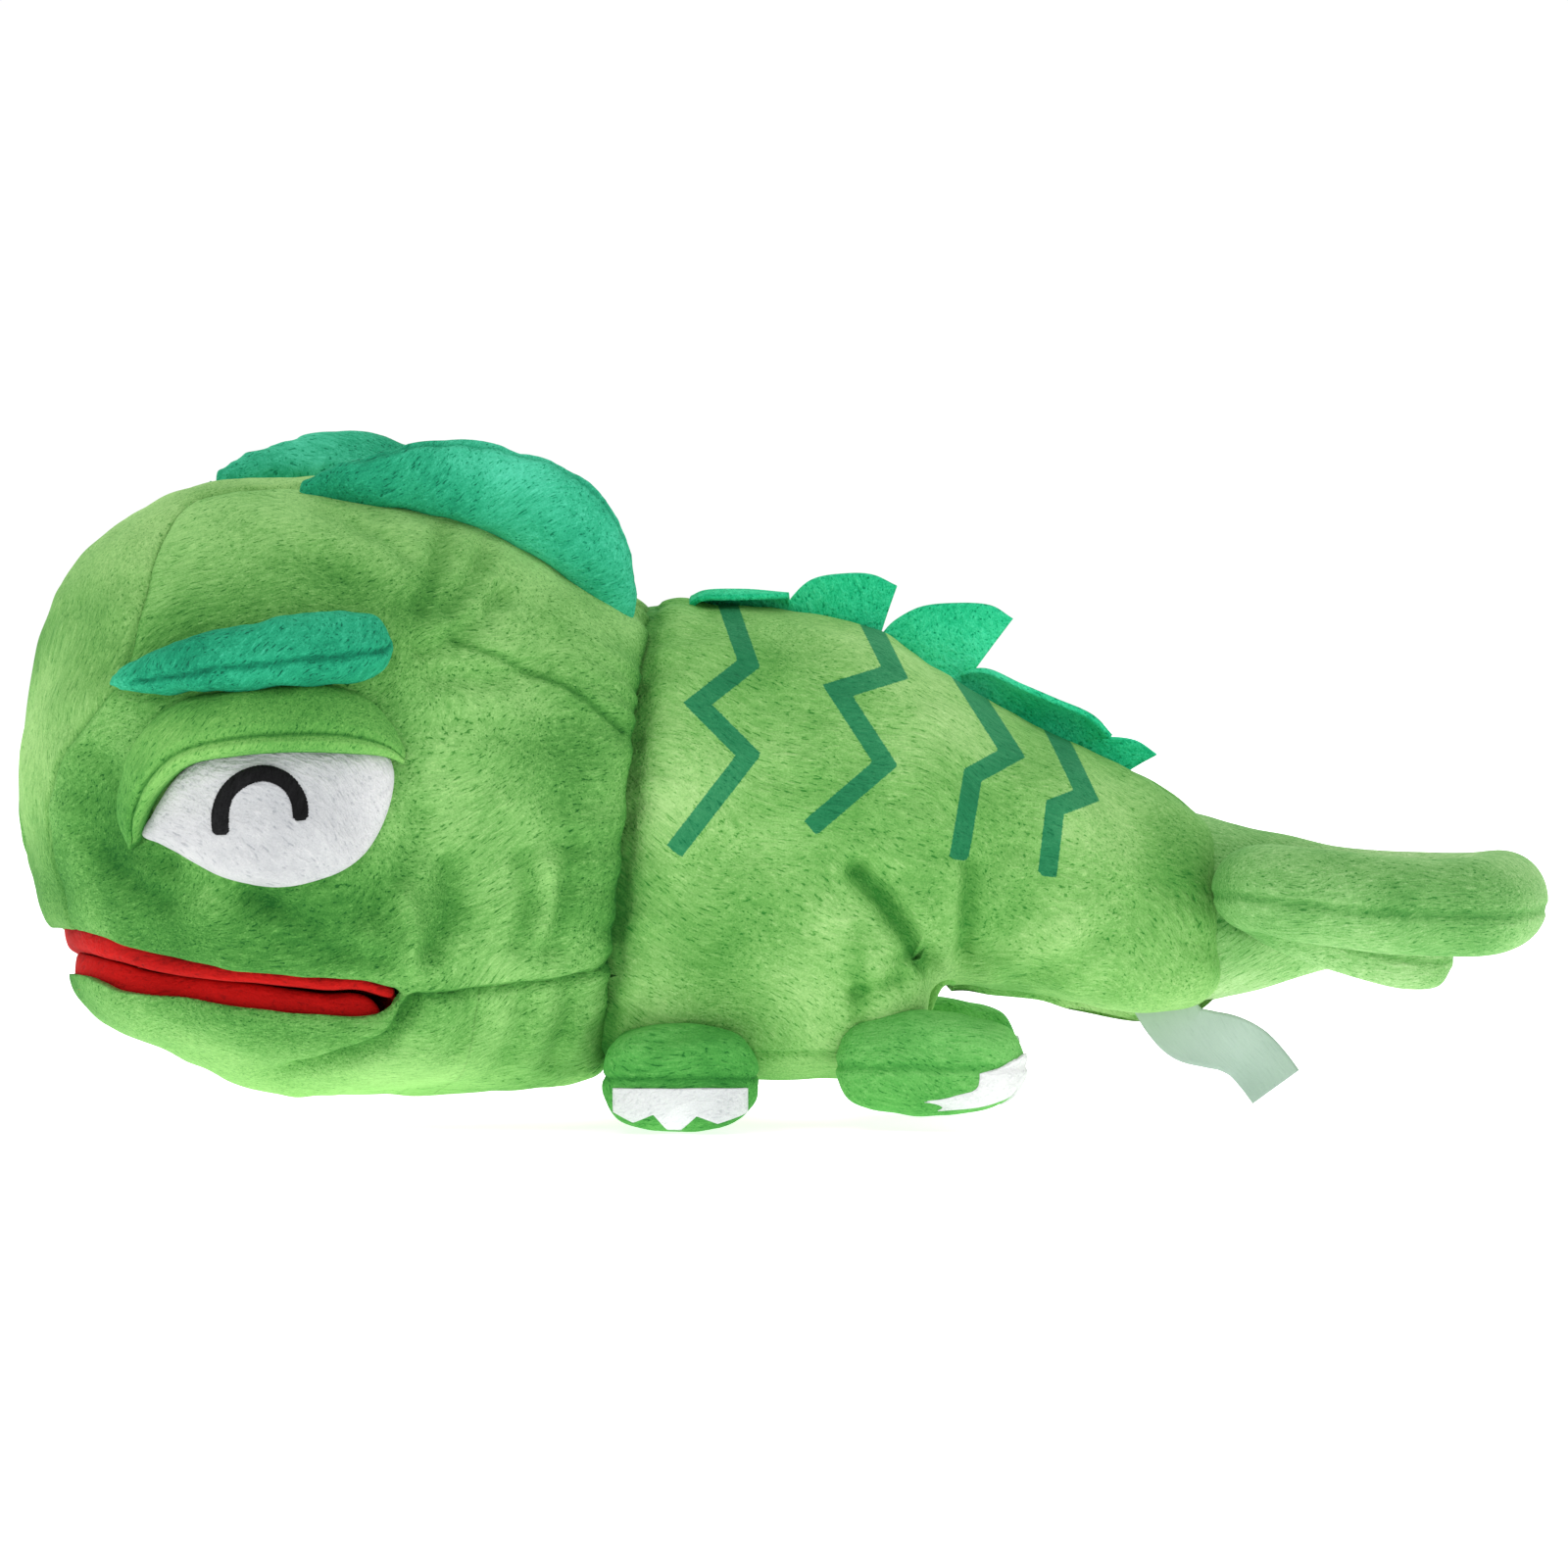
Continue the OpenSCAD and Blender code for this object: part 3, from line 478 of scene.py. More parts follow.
def build_head():
    rings, m = 260, 440
    p = surface(HEAD, rings, m, 2.2, 2.4)
    n = normals_of(p)
    if (n[100, :, 1] * p[100, :, 1]).sum() < 0:
        n = -n
    v = np.hstack([head_space(p.reshape(-1, 3)), p.reshape(-1, 3), n.reshape(-1, 3)])
    nose = v[:m].mean(0)
    nose[6:] = (1, 0, 0)
    v = np.vstack([v, nose])
    tri = np.vstack([triangles(grid_quads(rings, m)), [[(j + 1) % m, j, rings * m] for j in range(m)]])
    v, tri = clip(v, tri, -neck_depth(v[:, :3]))

    def part(name, gs, material):
        a, b = v, tri
        for g in gs:
            a, b = clip(a, b, g(a[:, 3:6]))
        out, shade = head_detail(a[:, 3:6], a[:, :3])
        local = a[:, 3:6] + a[:, 6:9] * out[:, None]
        return add_mesh(name, head_space(local), b, material, {"shade": shade})

    def crown(q):
        return gusset_half(q[:, 0], q[:, 2]) - np.abs(q[:, 1])

    upper = lambda q: q[:, 2] - cheek_line(q[:, 0])
    border = lambda q: q[:, 0] - CORNER_F + 18
    return {
        "head_gusset": part("gusset_cloth", [upper, crown], FACE_GREEN),
        "head_side_left": part("cheek_cloth_left", [upper, lambda q: -crown(q), lambda q: -q[:, 1]], GREEN),
        "head_side_right": part("cheek_cloth_right", [upper, lambda q: -crown(q), lambda q: q[:, 1]], GREEN),
        "throat_panel": part("throat_cloth", [lambda q: cheek_line(q[:, 0]) - q[:, 2], lambda q: -border(q),
                                              lambda q: np.where(q[:, 0] > CORNER_F, jaw_line(q[:, 0]) - q[:, 2], 1)], GREEN),
        "chin_panel": part("chin_cloth", [lambda q: jaw_line(q[:, 0]) - q[:, 2], border], GREEN),
    }


head = build_head()
for obj in head.values():
    solidify(obj, 2.0)


def row_of(p):
    return (np.asarray(p, float) - ORIGIN) * 0.001


for key in ("head_gusset", "head_side_left", "head_side_right", "throat_panel"):
    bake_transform(head[key])
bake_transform(head["chin_panel"])
for key in head:
    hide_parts(key)

# ---------------------------------------------------------------- mouth
HEAD_ROWS = hermite(HEAD, np.linspace(0, 1, 900))[::-1]


def head_row(f):
    return np.stack([np.interp(f, HEAD_ROWS[:, 0], HEAD_ROWS[:, k]) for k in range(5)], -1)


def side_reach(f, z):
    """How far out the side of the head is at a place."""
    r = head_row(f)
    up = z >= r[..., 2]
    high = np.where(up, r[..., 1] - r[..., 2], r[..., 2] - r[..., 3])
    e = np.where(up, 2.2, 2.4)
    inner = 1 - (np.abs(z - r[..., 2]) / np.maximum(high, 1e-6)) ** e
    return np.where(inner > 0, r[..., 4] * np.maximum(inner, 1e-9) ** (1 / e), 0)


def detail_at(points):
    """The head cloth's distance outwards at places in the head's own frame."""
    flat = points.reshape(-1, 3)
    return head_detail(flat, head_space(flat))[0].reshape(points.shape[:-1])


def mouth_pad(name, line, sign, height, inset, front):
    """A padded lining whose edge follows the lips. sign is 1 for the lower jaw and -1 for the palate."""
    m = 300
    a = np.linspace(0, 2 * math.pi, m, endpoint=False)
    centre_f = 106.0
    low, high = np.zeros(m), np.full(m, 90.0)
    for _ in range(40):
        mid = (low + high) / 2
        f, y = centre_f + mid * np.cos(a), mid * np.sin(a)
        inside = (side_reach(f, line(f) + (0.0 if sign > 0 else -0.5 * height(f))) > np.abs(y)) & (f > CORNER_F - 1.5 + (sign > 0) * 2.5) & (f < 146)
        low, high = np.where(inside, mid, low), np.where(inside, high, mid)
    reach = low - inset + bell(np.sin(a), 0.5) * (np.cos(a) > 0) * front
    profile = [(0.02, 0.93), (0.2, 0.93), (0.4, 0.94), (0.6, 0.96), (0.75, 0.98), (0.86, 1.0), (0.92, 1.0), (0.955, 0.97), (0.975, 0.9),
               (0.988, 0.78), (0.996, 0.58), (1.0, 0.34), (1.0, 0.05), (0.985, -0.25), (0.9, -0.3), (0.6, -0.3), (0.3, -0.3), (0.02, -0.3)]
    rings = []
    for rho, k in profile:
        f, y = centre_f + reach * rho * np.cos(a), reach * rho * np.sin(a)
        rings.append(np.stack([f, y, line(f) + sign * height(f) * k], -1))
    rings = np.array(rings)
    flat = rings.reshape(-1, 3)
    flat[:, 2] += 0.3 * lumps(flat, 16, 21)
    flat[:, :2] += 0.25 * lumps(flat, 12, 22)[:, None]
    return ring_solid(name, head_space(rings), RED, flip=sign > 0)


def palate_thick(f):
    return 1.3 + 1.8 * smooth((f - 100) / 32)


def jaw_thick(f):
    gap = 0.9 - 0.7 * smooth((f - 76) / 40)
    return np.maximum(cheek_line(f) - jaw_line(f) - palate_thick(f) - gap, 2.5)


jaw_pad = mouth_pad("jaw_lining_pad", lambda f: jaw_line(np.maximum(f, 77)), 1, jaw_thick, 4.6, 3.0)
palate_pad = mouth_pad("palate_lining_pad", lambda f: cheek_line(f) + 1.3, -1, lambda f: palate_thick(f) + 1.3, 4.8, 0.6)
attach(jaw_pad, "jaw")
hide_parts("jaw_lining", "lower_mouth_board", "chin_stuffing")
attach(palate_pad, "head")
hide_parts("palate_lining", "upper_mouth_board")

fold_y, fold_a = np.meshgrid(np.linspace(-1, 1, 80), np.linspace(-1, 1, 16), indexing="ij")
fold_f = CORNER_F + 3.5 - 3.5 * (1 - fold_a**2)
fold_z = CORNER_Z - 1.6 + fold_a * 3.4
fold = np.stack([fold_f, fold_y * (side_reach(fold_f, fold_z) - 9.5), fold_z], -1)
fold_obj = add_mesh("mouth_fold_cloth", head_space(fold).reshape(-1, 3), grid_quads(80, 16, False), RED)
solidify(fold_obj, 1.0)
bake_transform(fold_obj)
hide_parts("mouth_fold")


# ---------------------------------------------------------------- face pieces that lie on the side of the head
def side_frame(f, z):
    """Place on the cloth of the left side of the head and the way out of it."""
    def at(ff, zz):
        return np.stack([ff, -side_reach(ff, zz), zz], -1)
    p = at(f, z)
    n = np.cross(at(f + 0.4, z) - at(f - 0.4, z), at(f, z + 0.4) - at(f, z - 0.4))
    n *= np.sign(-n[..., 1:2])
    n /= np.linalg.norm(n, axis=-1, keepdims=True)
    return p + n * np.maximum(detail_at(p), -0.6)[..., None], n


def mesh_of(rings):
    """Points and faces of a closed form through rings, its ends closed by middle points."""
    n, m = rings.shape[:2]
    verts = np.vstack([rings.reshape(-1, 3), rings[0].mean(0), rings[-1].mean(0)])
    faces = grid_quads(n, m).tolist()
    faces += [[(j + 1) % m, j, n * m] for j in range(m)]
    faces += [[(n - 1) * m + j, (n - 1) * m + (j + 1) % m, n * m + 1] for j in range(m)]
    return verts, faces


def volume(verts, faces):
    total = 0
    for f in faces:
        a = verts[f[0]]
        for k in range(1, len(f) - 1):
            total += np.dot(a, np.cross(verts[f[k]], verts[f[k + 1]]))
    return total


SCALE = 0.006    # a small pad is simulated at six times its size, so that the cloth behaves as on a cushion


def stuffed(verts, faces, voxel, cap, pressure=4.0, hold=None):
    """Cloth filled until it is tight: remeshed, blown up by the cloth simulation, and moved no further than cap, in mm."""
    if volume(verts, faces) < 0:
        faces = [f[::-1] for f in faces]
    mesh = bpy.data.meshes.new("pad")
    mesh.from_pydata((verts * SCALE).tolist(), [], faces)
    mesh.update()
    obj = bpy.data.objects.new("pad", mesh)
    bpy.context.scene.collection.objects.link(obj)
    remesh = obj.modifiers.new("remesh", "REMESH")
    remesh.mode = "VOXEL"
    remesh.voxel_size = voxel * SCALE
    with bpy.context.temp_override(object=obj, active_object=obj, selected_objects=[obj]):
        bpy.ops.object.modifier_apply(modifier="remesh")
    start = np.empty(len(obj.data.vertices) * 3)
    obj.data.vertices.foreach_get("co", start)
    start = start.reshape(-1, 3)
    end = start
    cloth = obj.modifiers.new("cloth", "CLOTH")
    settings = cloth.settings
    settings.quality = 6
    settings.use_pressure = True
    settings.uniform_pressure_force = pressure
    settings.effector_weights.gravity = 0
    cloth.point_cache.frame_start, cloth.point_cache.frame_end = 1, 20
    for step in range(1, 21):
        bpy.context.scene.frame_set(step)
    done = obj.evaluated_get(bpy.context.evaluated_depsgraph_get()).to_mesh()
    end = np.empty(len(start) * 3)
    done.vertices.foreach_get("co", end)
    end = end.reshape(-1, 3)
    bpy.context.scene.frame_set(1)
    out_faces = [list(q.vertices) for q in obj.data.polygons]
    bpy.data.objects.remove(obj)
    move = (end - start) / SCALE
    far = np.linalg.norm(move, axis=1, keepdims=True)
    move *= cap * np.tanh(far / cap) / np.maximum(far, 1e-9)
    return start / SCALE + move, out_faces


def refine(verts, faces, levels=1):
    """One step or more of smooth subdivision."""
    mesh = bpy.data.meshes.new("fine")
    mesh.from_pydata(verts.tolist(), [], faces)
    obj = bpy.data.objects.new("fine", mesh)
    bpy.context.scene.collection.objects.link(obj)
    mod = obj.modifiers.new("fine", "SUBSURF")
    mod.levels = levels
    done = obj.evaluated_get(bpy.context.evaluated_depsgraph_get()).to_mesh()
    co, no = np.empty(len(done.vertices) * 3), np.empty(len(done.vertices) * 3)
    done.vertices.foreach_get("co", co)
    done.vertices.foreach_get("normal", no)
    out = [list(q.vertices) for q in done.polygons]
    bpy.data.objects.remove(obj)
    return co.reshape(-1, 3), no.reshape(-1, 3), out


def pair(name, verts, faces, attributes, to_frame, material, body_name, nodes, nudge=(0, 0, 0)):
    """The left piece, and the right one as its mirror image."""
    if volume(verts, faces) < 0:
        faces = [f[::-1] for f in faces]
    for side, sign in (("left", 1), ("right", -1)):
        placed = to_frame(verts * np.array([1, sign, 1]) + np.array(nudge) * (sign < 0))
        turned = to_frame is head_space
        obj = add_mesh(f"{name}_{side}", placed, faces, material, attributes, flip=(sign < 0) != turned)
        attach(obj, body_name.format(side))
        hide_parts(*[n.format(side) for n in nodes])


EYE = [(127.1, 69.6), (124.6, 75.3), (121.4, 81.1), (116.1, 86.4), (107.1, 88.7), (96.4, 89.7), (83.1, 89.5), (74.6, 88.7), (72.3, 84.6),
       (74.5, 73.1), (78.5, 66.3), (85.1, 61.3), (94.1, 58.5), (102.1, 58.1), (111.1, 60.7), (118.1, 64.5), (123.7, 67.7)]
m = 260
edge = hermite(EYE, np.linspace(0, 1, m, endpoint=False), closed=True)
middle = np.array([96.0, 76.5])
rings = []
for rho, h in [(1.0, -1.8), (1.004, 0.3), (0.995, 1.0), (0.97, 1.6), (0.93, 2.1), (0.86, 2.5), (0.76, 2.9), (0.62, 3.2), (0.48, 3.4), (0.32, 3.5),
               (0.16, 3.5), (0.04, 3.5)]:
    q = middle + (edge - middle) * rho
    base, n = side_frame(q[:, 0], q[:, 1])
    rings.append(base + n * h)
rings = np.array(rings)
flat = rings.reshape(-1, 3)
flat[:, 1] += 0.3 * lumps(flat, 13, 31)
verts, faces = mesh_of(rings)
pair("eye_patch", verts, faces, {"shade": np.zeros(len(verts))}, head_space, WHITE, "head", ["eye_white_{}"])

# the arch over the eye patch, embroidered in satin stitch
m = 130
path = hermite([(110.2, 70), (110.4, 75), (108.9, 79.6), (105.3, 82.8), (101.1, 83.7), (96.9, 81.9), (94.3, 78), (93.6, 73.2)], np.linspace(0, 1, m))
ahead = np.gradient(path, axis=0)
ahead /= np.linalg.norm(ahead, axis=1)[:, None]
across = np.stack([-ahead[:, 1], ahead[:, 0]], 1)
thick = 1.75 * np.minimum(1, 4 * np.sin(np.pi * np.linspace(0.02, 0.98, m)) ** 0.7)
rings = []
for j in range(28):
    a = 2 * math.pi * j / 28
    wob = 1 + 0.13 * np.sin(np.arange(m) * 2.35 + 1.7 * j)
    q = path + across * (thick * math.cos(a) * wob)[:, None]
    base, n = side_frame(q[:, 0], q[:, 1])
    rings.append(base + n * (3.3 + 1.0 * math.sin(a) * thick / 1.85)[:, None])
verts, faces = mesh_of(np.array(rings).transpose(1, 0, 2))
pair("eye_arch_stitching", verts, faces, {"shade": np.zeros(len(verts))}, head_space, BLACK, "head", ["pupil_{}"])

LID_OUT = [(129.6, 66), (131.8, 72.4), (132, 79.4), (130, 87.4), (125.2, 95.8), (118.2, 101), (109.2, 103), (98.2, 104), (87.2, 104.4), (78.2, 101.8), (72.6, 96),
           (69.6, 89.9)]
LID_LIP = [(127.6, 68.3), (125.4, 74.5), (122, 80.5), (116.6, 85.5), (107.2, 87.5), (96.5, 88.3), (83.2, 88.1), (74.2, 87.3), (70.2, 85.9)]
n_along, n_cross = 150, 60
s = np.linspace(0, 1, n_along)
outer, lip = hermite(LID_OUT, s), hermite(LID_LIP, s)
r = np.linspace(0, 1, n_cross)
taper = np.sin(np.pi * np.clip(s, 0.015, 0.99)) ** 0.3
height = np.interp(r, [0, 0.05, 0.12, 0.25, 0.45, 0.62, 0.72, 0.765, 0.80, 0.87, 0.94, 0.98, 1],
                   [-1.5, 1.0, 2.8, 4.8, 6.6, 7.6, 7.4, 6.6, 7.2, 8.0, 7.7, 6.9, 5.6])
rows = []
for k, rr in enumerate(r):
    q = outer + (lip - outer) * rr
    base, n = side_frame(q[:, 0], q[:, 1])
    rows.append(base + n * (height[k] * taper)[:, None])
for back, h in ((1.0, 3.8), (0.985, 2.6), (0.94, 2.0), (0.5, -1.6)):
    q = outer + (lip - outer) * back
    base, n = side_frame(q[:, 0], q[:, 1])
    rows.append(base + n * (h * taper - 1)[:, None])
rings = np.array(rows).transpose(1, 0, 2)
flat = rings.reshape(-1, 3)
pucker = bell(np.tile(np.concatenate([r, [1, 1, 1, 1]]), n_along) - 0.8, 0.12)
flat += (0.5 * lumps(flat, 11, 41) + 0.35 * pucker * lumps(flat, 3.2, 42))[:, None] * np.array([0, 1.0, 0.4])
shade = np.tile(np.concatenate([0.3 * bell(r - 0.765, 0.022) + 0.22 * bell(r, 0.05) - 0.16 * (r > 0.8), np.full(4, 0.3)]), (n_along, 1))
verts, faces = mesh_of(rings)
pair("eyelid_pad", verts, faces, {"shade": np.append(shade.ravel(), [0.2, 0.2])}, head_space, LID_GREEN, "head", ["eyelid_{}"])

# brow: a stuffed bar with a seam along its lower third
n, m = 90, 40
t = np.linspace(0.0, 1, n)
axis = hermite([(132, 103.4), (123, 105.8), (111, 108.2), (97, 110), (83, 111.3), (71.8, 112.2)], t)
wide = np.interp(t, [0, 0.03, 0.1, 0.2, 0.31, 0.5, 0.7, 0.85, 0.93, 0.975, 1], [0.5, 2.4, 4.8, 6.7, 8.0, 9.2, 9.9, 9.6, 8.3, 5.9, 1.2])
for _ in range(3):
    wide[1:-1] = (wide[:-2] + 2 * wide[1:-1] + wide[2:]) / 4
base, out = side_frame(axis[:, 0], axis[:, 1])
middle_line = base + out * 3.0
d = np.gradient(base, axis=0)
d /= np.linalg.norm(d, axis=1)[:, None]
up = np.cross(d, out)
up *= np.sign(up[:, 2:3])
a = np.linspace(0, 2 * math.pi, m, endpoint=False)
rings = middle_line[:, None] + up[:, None] * (0.9 * wide[:, None] * power(np.sin(a), 0.85))[..., None] \
    + out[:, None] * (0.62 * wide[:, None] * power(np.cos(a), 0.8))[..., None]
verts, faces = stuffed(*mesh_of(rings), voxel=1.6, cap=1.2)
verts, normals, faces = refine(verts, faces)
order = np.argsort(axis[:, 0])
at = np.interp(verts[:, 0], axis[order, 0], np.arange(n)[order])
k = np.clip(np.round(at).astype(int), 0, n - 1)
rel = verts - middle_line[k]
turned = np.arctan2((rel * up[k]).sum(1), (rel * out[k]).sum(1))
seam = bell(turned + 0.62, 0.11) * (wide[k] > 2)
verts += normals * (-0.9 * seam + 0.25 * lumps(verts, 7, 51))[:, None]
pair("brow_pad", verts, faces, {"shade": 0.34 * seam}, head_space, TEAL, "head", ["brow_{}"])

# crest: a stuffed leaf with its seam along the ridge
n, m = 80, 40
t = np.linspace(0.0, 1.0, n)
root = hermite([(85, -20, 153.4), (73, -23.5, 152), (58, -26, 149.4), (42, -27.5, 144.4), (24, -28.5, 134.8), (5.5, -28, 120.6)], t)
high = np.interp(t, [0, 0.05, 0.14, 0.25, 0.37, 0.5, 0.62, 0.75, 0.84, 0.92, 0.97, 1], [0.2, 2.2, 6.4, 11, 14.9, 17.8, 19.6, 19.8, 18.4, 14.6, 9, 2.0])
for _ in range(4):
    high[1:-1] = (high[:-2] + 2 * high[1:-1] + high[2:]) / 4
wide = 0.8 + 6.2 * np.clip(high / 27, 0, 1) ** 0.6
lean = math.radians(30)
a = np.linspace(0, 2 * math.pi, m, endpoint=False)
up = np.array([-0.16, -math.sin(lean), math.cos(lean)])
across = np.array([0, -math.cos(lean), -math.sin(lean)])
rings = root[:, None] + up * ((high[:, None] + 8) / 2 * (1 + power(np.sin(a), 0.85)) - 8)[..., None] \
    + across * (wide[:, None] * power(np.cos(a), 0.9) * (1 - 0.45 * np.clip(np.sin(a), 0, 1) ** 3))[..., None]
verts, faces = stuffed(*mesh_of(rings), voxel=2.0, cap=3.2)
verts, normals, faces = refine(verts, faces)
order = np.argsort(root[:, 0])
rise = (verts - root[n // 2]) @ up
k = np.clip(np.round(np.interp(verts[:, 0] + 0.16 * np.clip(rise, 0, 30), root[order, 0], np.arange(n)[order])).astype(int), 0, n - 1)
rel = verts - root[k]
seam = bell(rel @ across, 0.8) * smooth((rel @ up - 3) / 3)
verts += normals * (-0.9 * seam + 0.35 * lumps(verts, 12, 61))[:, None]
pair("crest_pad", verts, faces, {"shade": 0.28 * seam + 0.16 * smooth((16 - rel @ up) / 12) - 0.12 * smooth((rel @ up - 16) / 12)}, head_space, TEAL, "head", ["crest_{}"],
     nudge=(12, 0, 2.6))

# ---------------------------------------------------------------- body
OPEN_X, OPEN_W, OPEN_R = (12.0, 36.0), 26.0, 8.0


def opening_distance(x, y):
    """Distance outside the rounded outline of the hand opening."""
    cx, hx = (OPEN_X[0] + OPEN_X[1]) / 2, (OPEN_X[1] - OPEN_X[0]) / 2
    qx, qy = np.abs(x - cx) - hx + OPEN_R, np.abs(y) - OPEN_W + OPEN_R
    return np.hypot(np.maximum(qx, 0), np.maximum(qy, 0)) + np.minimum(np.maximum(qx, qy), 0) - OPEN_R


BODY_FOLDS = [  # places (x, z), width, depth, shade
    ([(13.7, 60.2), (20, 53.9), (26.4, 44.4), (29.6, 39)], 2.6, 3.4, 0.4), ([(39.8, 61), (38.3, 41)], 2.2, 1.5, 0.2),
    ([(13.7, 31.6), (24, 35.9)], 2.2, 1.4, 0.2), ([(24, 40), (25.6, 40.4)], 2.0, 1.5, 0.16), ([(13.5, 46), (14.5, 24)], 2.4, 1.0, 0.16),
    ([(70, 44), (62, 38), (50, 35)], 4, 0.8, 0.08), ([(-34, 60), (-26, 44), (-20, 34)], 5, 1.0, 0.06)]
BODY_RIDGES = [([(36, 61), (36, 47.6), (33.8, 39)], 2.6, 1.3), ([(50.8, 61), (44.4, 53)], 3.4, 1.1), ([(20, 31), (15, 42), (7, 52)], 4, 1.2),
               ([(52, 40), (62, 46)], 5, 0.8)]


def body_detail(p):
    x, y, z = p.T
    side = smooth((np.abs(y) - 14) / 14)
    back = (x - NECK[0]) * math.cos(LEAN) - (z - NECK[2]) * math.sin(LEAN)
    angle = np.arctan2(z - NECK[2], y)
    near, ahead = np.clip(back, 0, None), np.clip(-back, 0, None)
    out = -2.6 * np.exp(-near / 2.6) - 0.22 * ahead + 0.5 * np.exp(-near / 9) * np.sin(angle * 31 + 2.5 * lumps(p, 40, 5)) * (near > 0)
    shade = 0.4 * np.exp(-near / 2.6)
    top_seam = bell(y, 1.2) * (z > 60)
    low_seam = bell(z - 17.5, 1.2) * (x < 28) * (x > -30)
    out -= 0.9 * top_seam + 0.9 * low_seam
    shade += 0.2 * top_seam + 0.2 * low_seam
    for points, width, deep, dark in BODY_FOLDS:
        near_fold = bell(line_distance(x, z, points), width) * side
        out -= 1.25 * deep * near_fold
        shade += 1.3 * dark * near_fold
    for points, width, high in BODY_RIDGES:
        near_ridge = bell(line_distance(x, z, points), width) * side
        out += high * near_ridge
        shade -= 0.12 * near_ridge
    out += 0.9 * lumps(p, 46, 71) * smooth((near - 4) / 12) * smooth((z - 30) / 14) + 0.25 * lumps(p, 11, 72)
    return out, shade


def build_body():
    n_rings, m = 240, 380
    p = surface(BODY, n_rings, m, 2.2, 3.2)
    n = normals_of(p)
    if (n[100, :, 1] * p[100, :, 1]).sum() < 0:
        n = -n
    v = np.hstack([p.reshape(-1, 3), n.reshape(-1, 3)])
    end = v[-m:].mean(0)
    end[3:] = (1, 0, 0)
    v = np.vstack([v, end])
    last = (n_rings - 1) * m
    tri = np.vstack([triangles(grid_quads(n_rings, m)), [[last + j, last + (j + 1) % m, n_rings * m] for j in range(m)]])
    back = lambda q: (q[:, 0] - NECK[0]) * math.cos(LEAN) - (q[:, 2] - NECK[2]) * math.sin(LEAN)
    v, tri = clip(v, tri, back(v) + 15)
    hole = lambda q: np.where(q[:, 2] < 44, opening_distance(q[:, 0], q[:, 1]), 5.0)
    v, tri = clip(v, tri, hole(v))
    belly = lambda q: np.minimum(17.5 - q[:, 2], 28.2 - q[:, 0])

    def part(name, gs):
        a, b = v, tri
        for g in gs:
            a, b = clip(a, b, g(a))
        out, shade = body_detail(a[:, :3])
        q = a[:, :3] + a[:, 3:6] * out[:, None]
        stripe = np.full(len(q), 99.0)
        for line in ZIGZAGS:
            stripe = np.minimum(stripe, band_distance(q[:, 0], q[:, 2], line, 2.25))
        obj = add_mesh(name, q, b, BODY_GREEN, {"shade": shade, "stripe": stripe})
        return solidify(obj, 2.0)

    return {
        "body_panel_left": part("body_cloth_left", [lambda q: -q[:, 1], lambda q: -belly(q)]),
        "body_panel_right": part("body_cloth_right", [lambda q: q[:, 1], lambda q: -belly(q)]),
        "belly_panel": part("belly_cloth", [belly]),
    }


body = build_body()
for key, obj in body.items():
    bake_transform(obj)
    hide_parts(key)
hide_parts("hind_stuffing")
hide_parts("neck_band")
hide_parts("head_stuffing")

# hem round the hand opening
m = 200
a = np.linspace(0, 2 * math.pi, m, endpoint=False)
hem_path = []
BODY_ROWS = hermite(BODY, np.linspace(0, 1, 900))


def belly_height(x, y):
    r = np.stack([np.interp(x, BODY_ROWS[:, 0], BODY_ROWS[:, k]) for k in range(5)], -1)
    k = 1 - (np.abs(y) / r[:, 4]) ** 3.2
    return r[:, 2] - (r[:, 2] - r[:, 3]) * np.clip(k, 0, 1) ** (1 / 3.2)


cx, hx = sum(OPEN_X) / 2, (OPEN_X[1] - OPEN_X[0]) / 2
low_r, high_r = np.zeros(m), np.full(m, 40.0)
for _ in range(40):
    mid = (low_r + high_r) / 2
    inside = opening_distance(cx + mid * np.cos(a), mid * np.sin(a)) < 0
    low_r, high_r = np.where(inside, mid, low_r), np.where(inside, high_r, mid)
hem = np.stack([cx + low_r * np.cos(a), low_r * np.sin(a), belly_height(cx + low_r * np.cos(a), low_r * np.sin(a)) + 1.0], -1)
for _ in range(6):
    hem = (np.roll(hem, 1, 0) + 2 * hem + np.roll(hem, -1, 0)) / 4
t = np.roll(hem, -1, 0) - np.roll(hem, 1, 0)
t /= np.linalg.norm(t, axis=1)[:, None]
side = np.cross(t, [0, 0, 1.0])
side /= np.linalg.norm(side, axis=1)[:, None]
up = np.cross(side, t)
b = np.linspace(0, 2 * math.pi, 12, endpoint=False)
tube = hem[:, None] + 1.5 * (side[:, None] * np.cos(b)[None, :, None] + up[:, None] * np.sin(b)[None, :, None])
quads = [[i * 12 + j, i * 12 + (j + 1) % 12, ((i + 1) % m) * 12 + (j + 1) % 12, ((i + 1) % m) * 12 + j] for i in range(m) for j in range(12)]
hem_obj = add_mesh("opening_hem_roll", tube.reshape(-1, 3), quads, LID_GREEN)
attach(hem_obj, "torso")
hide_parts("opening_hem")

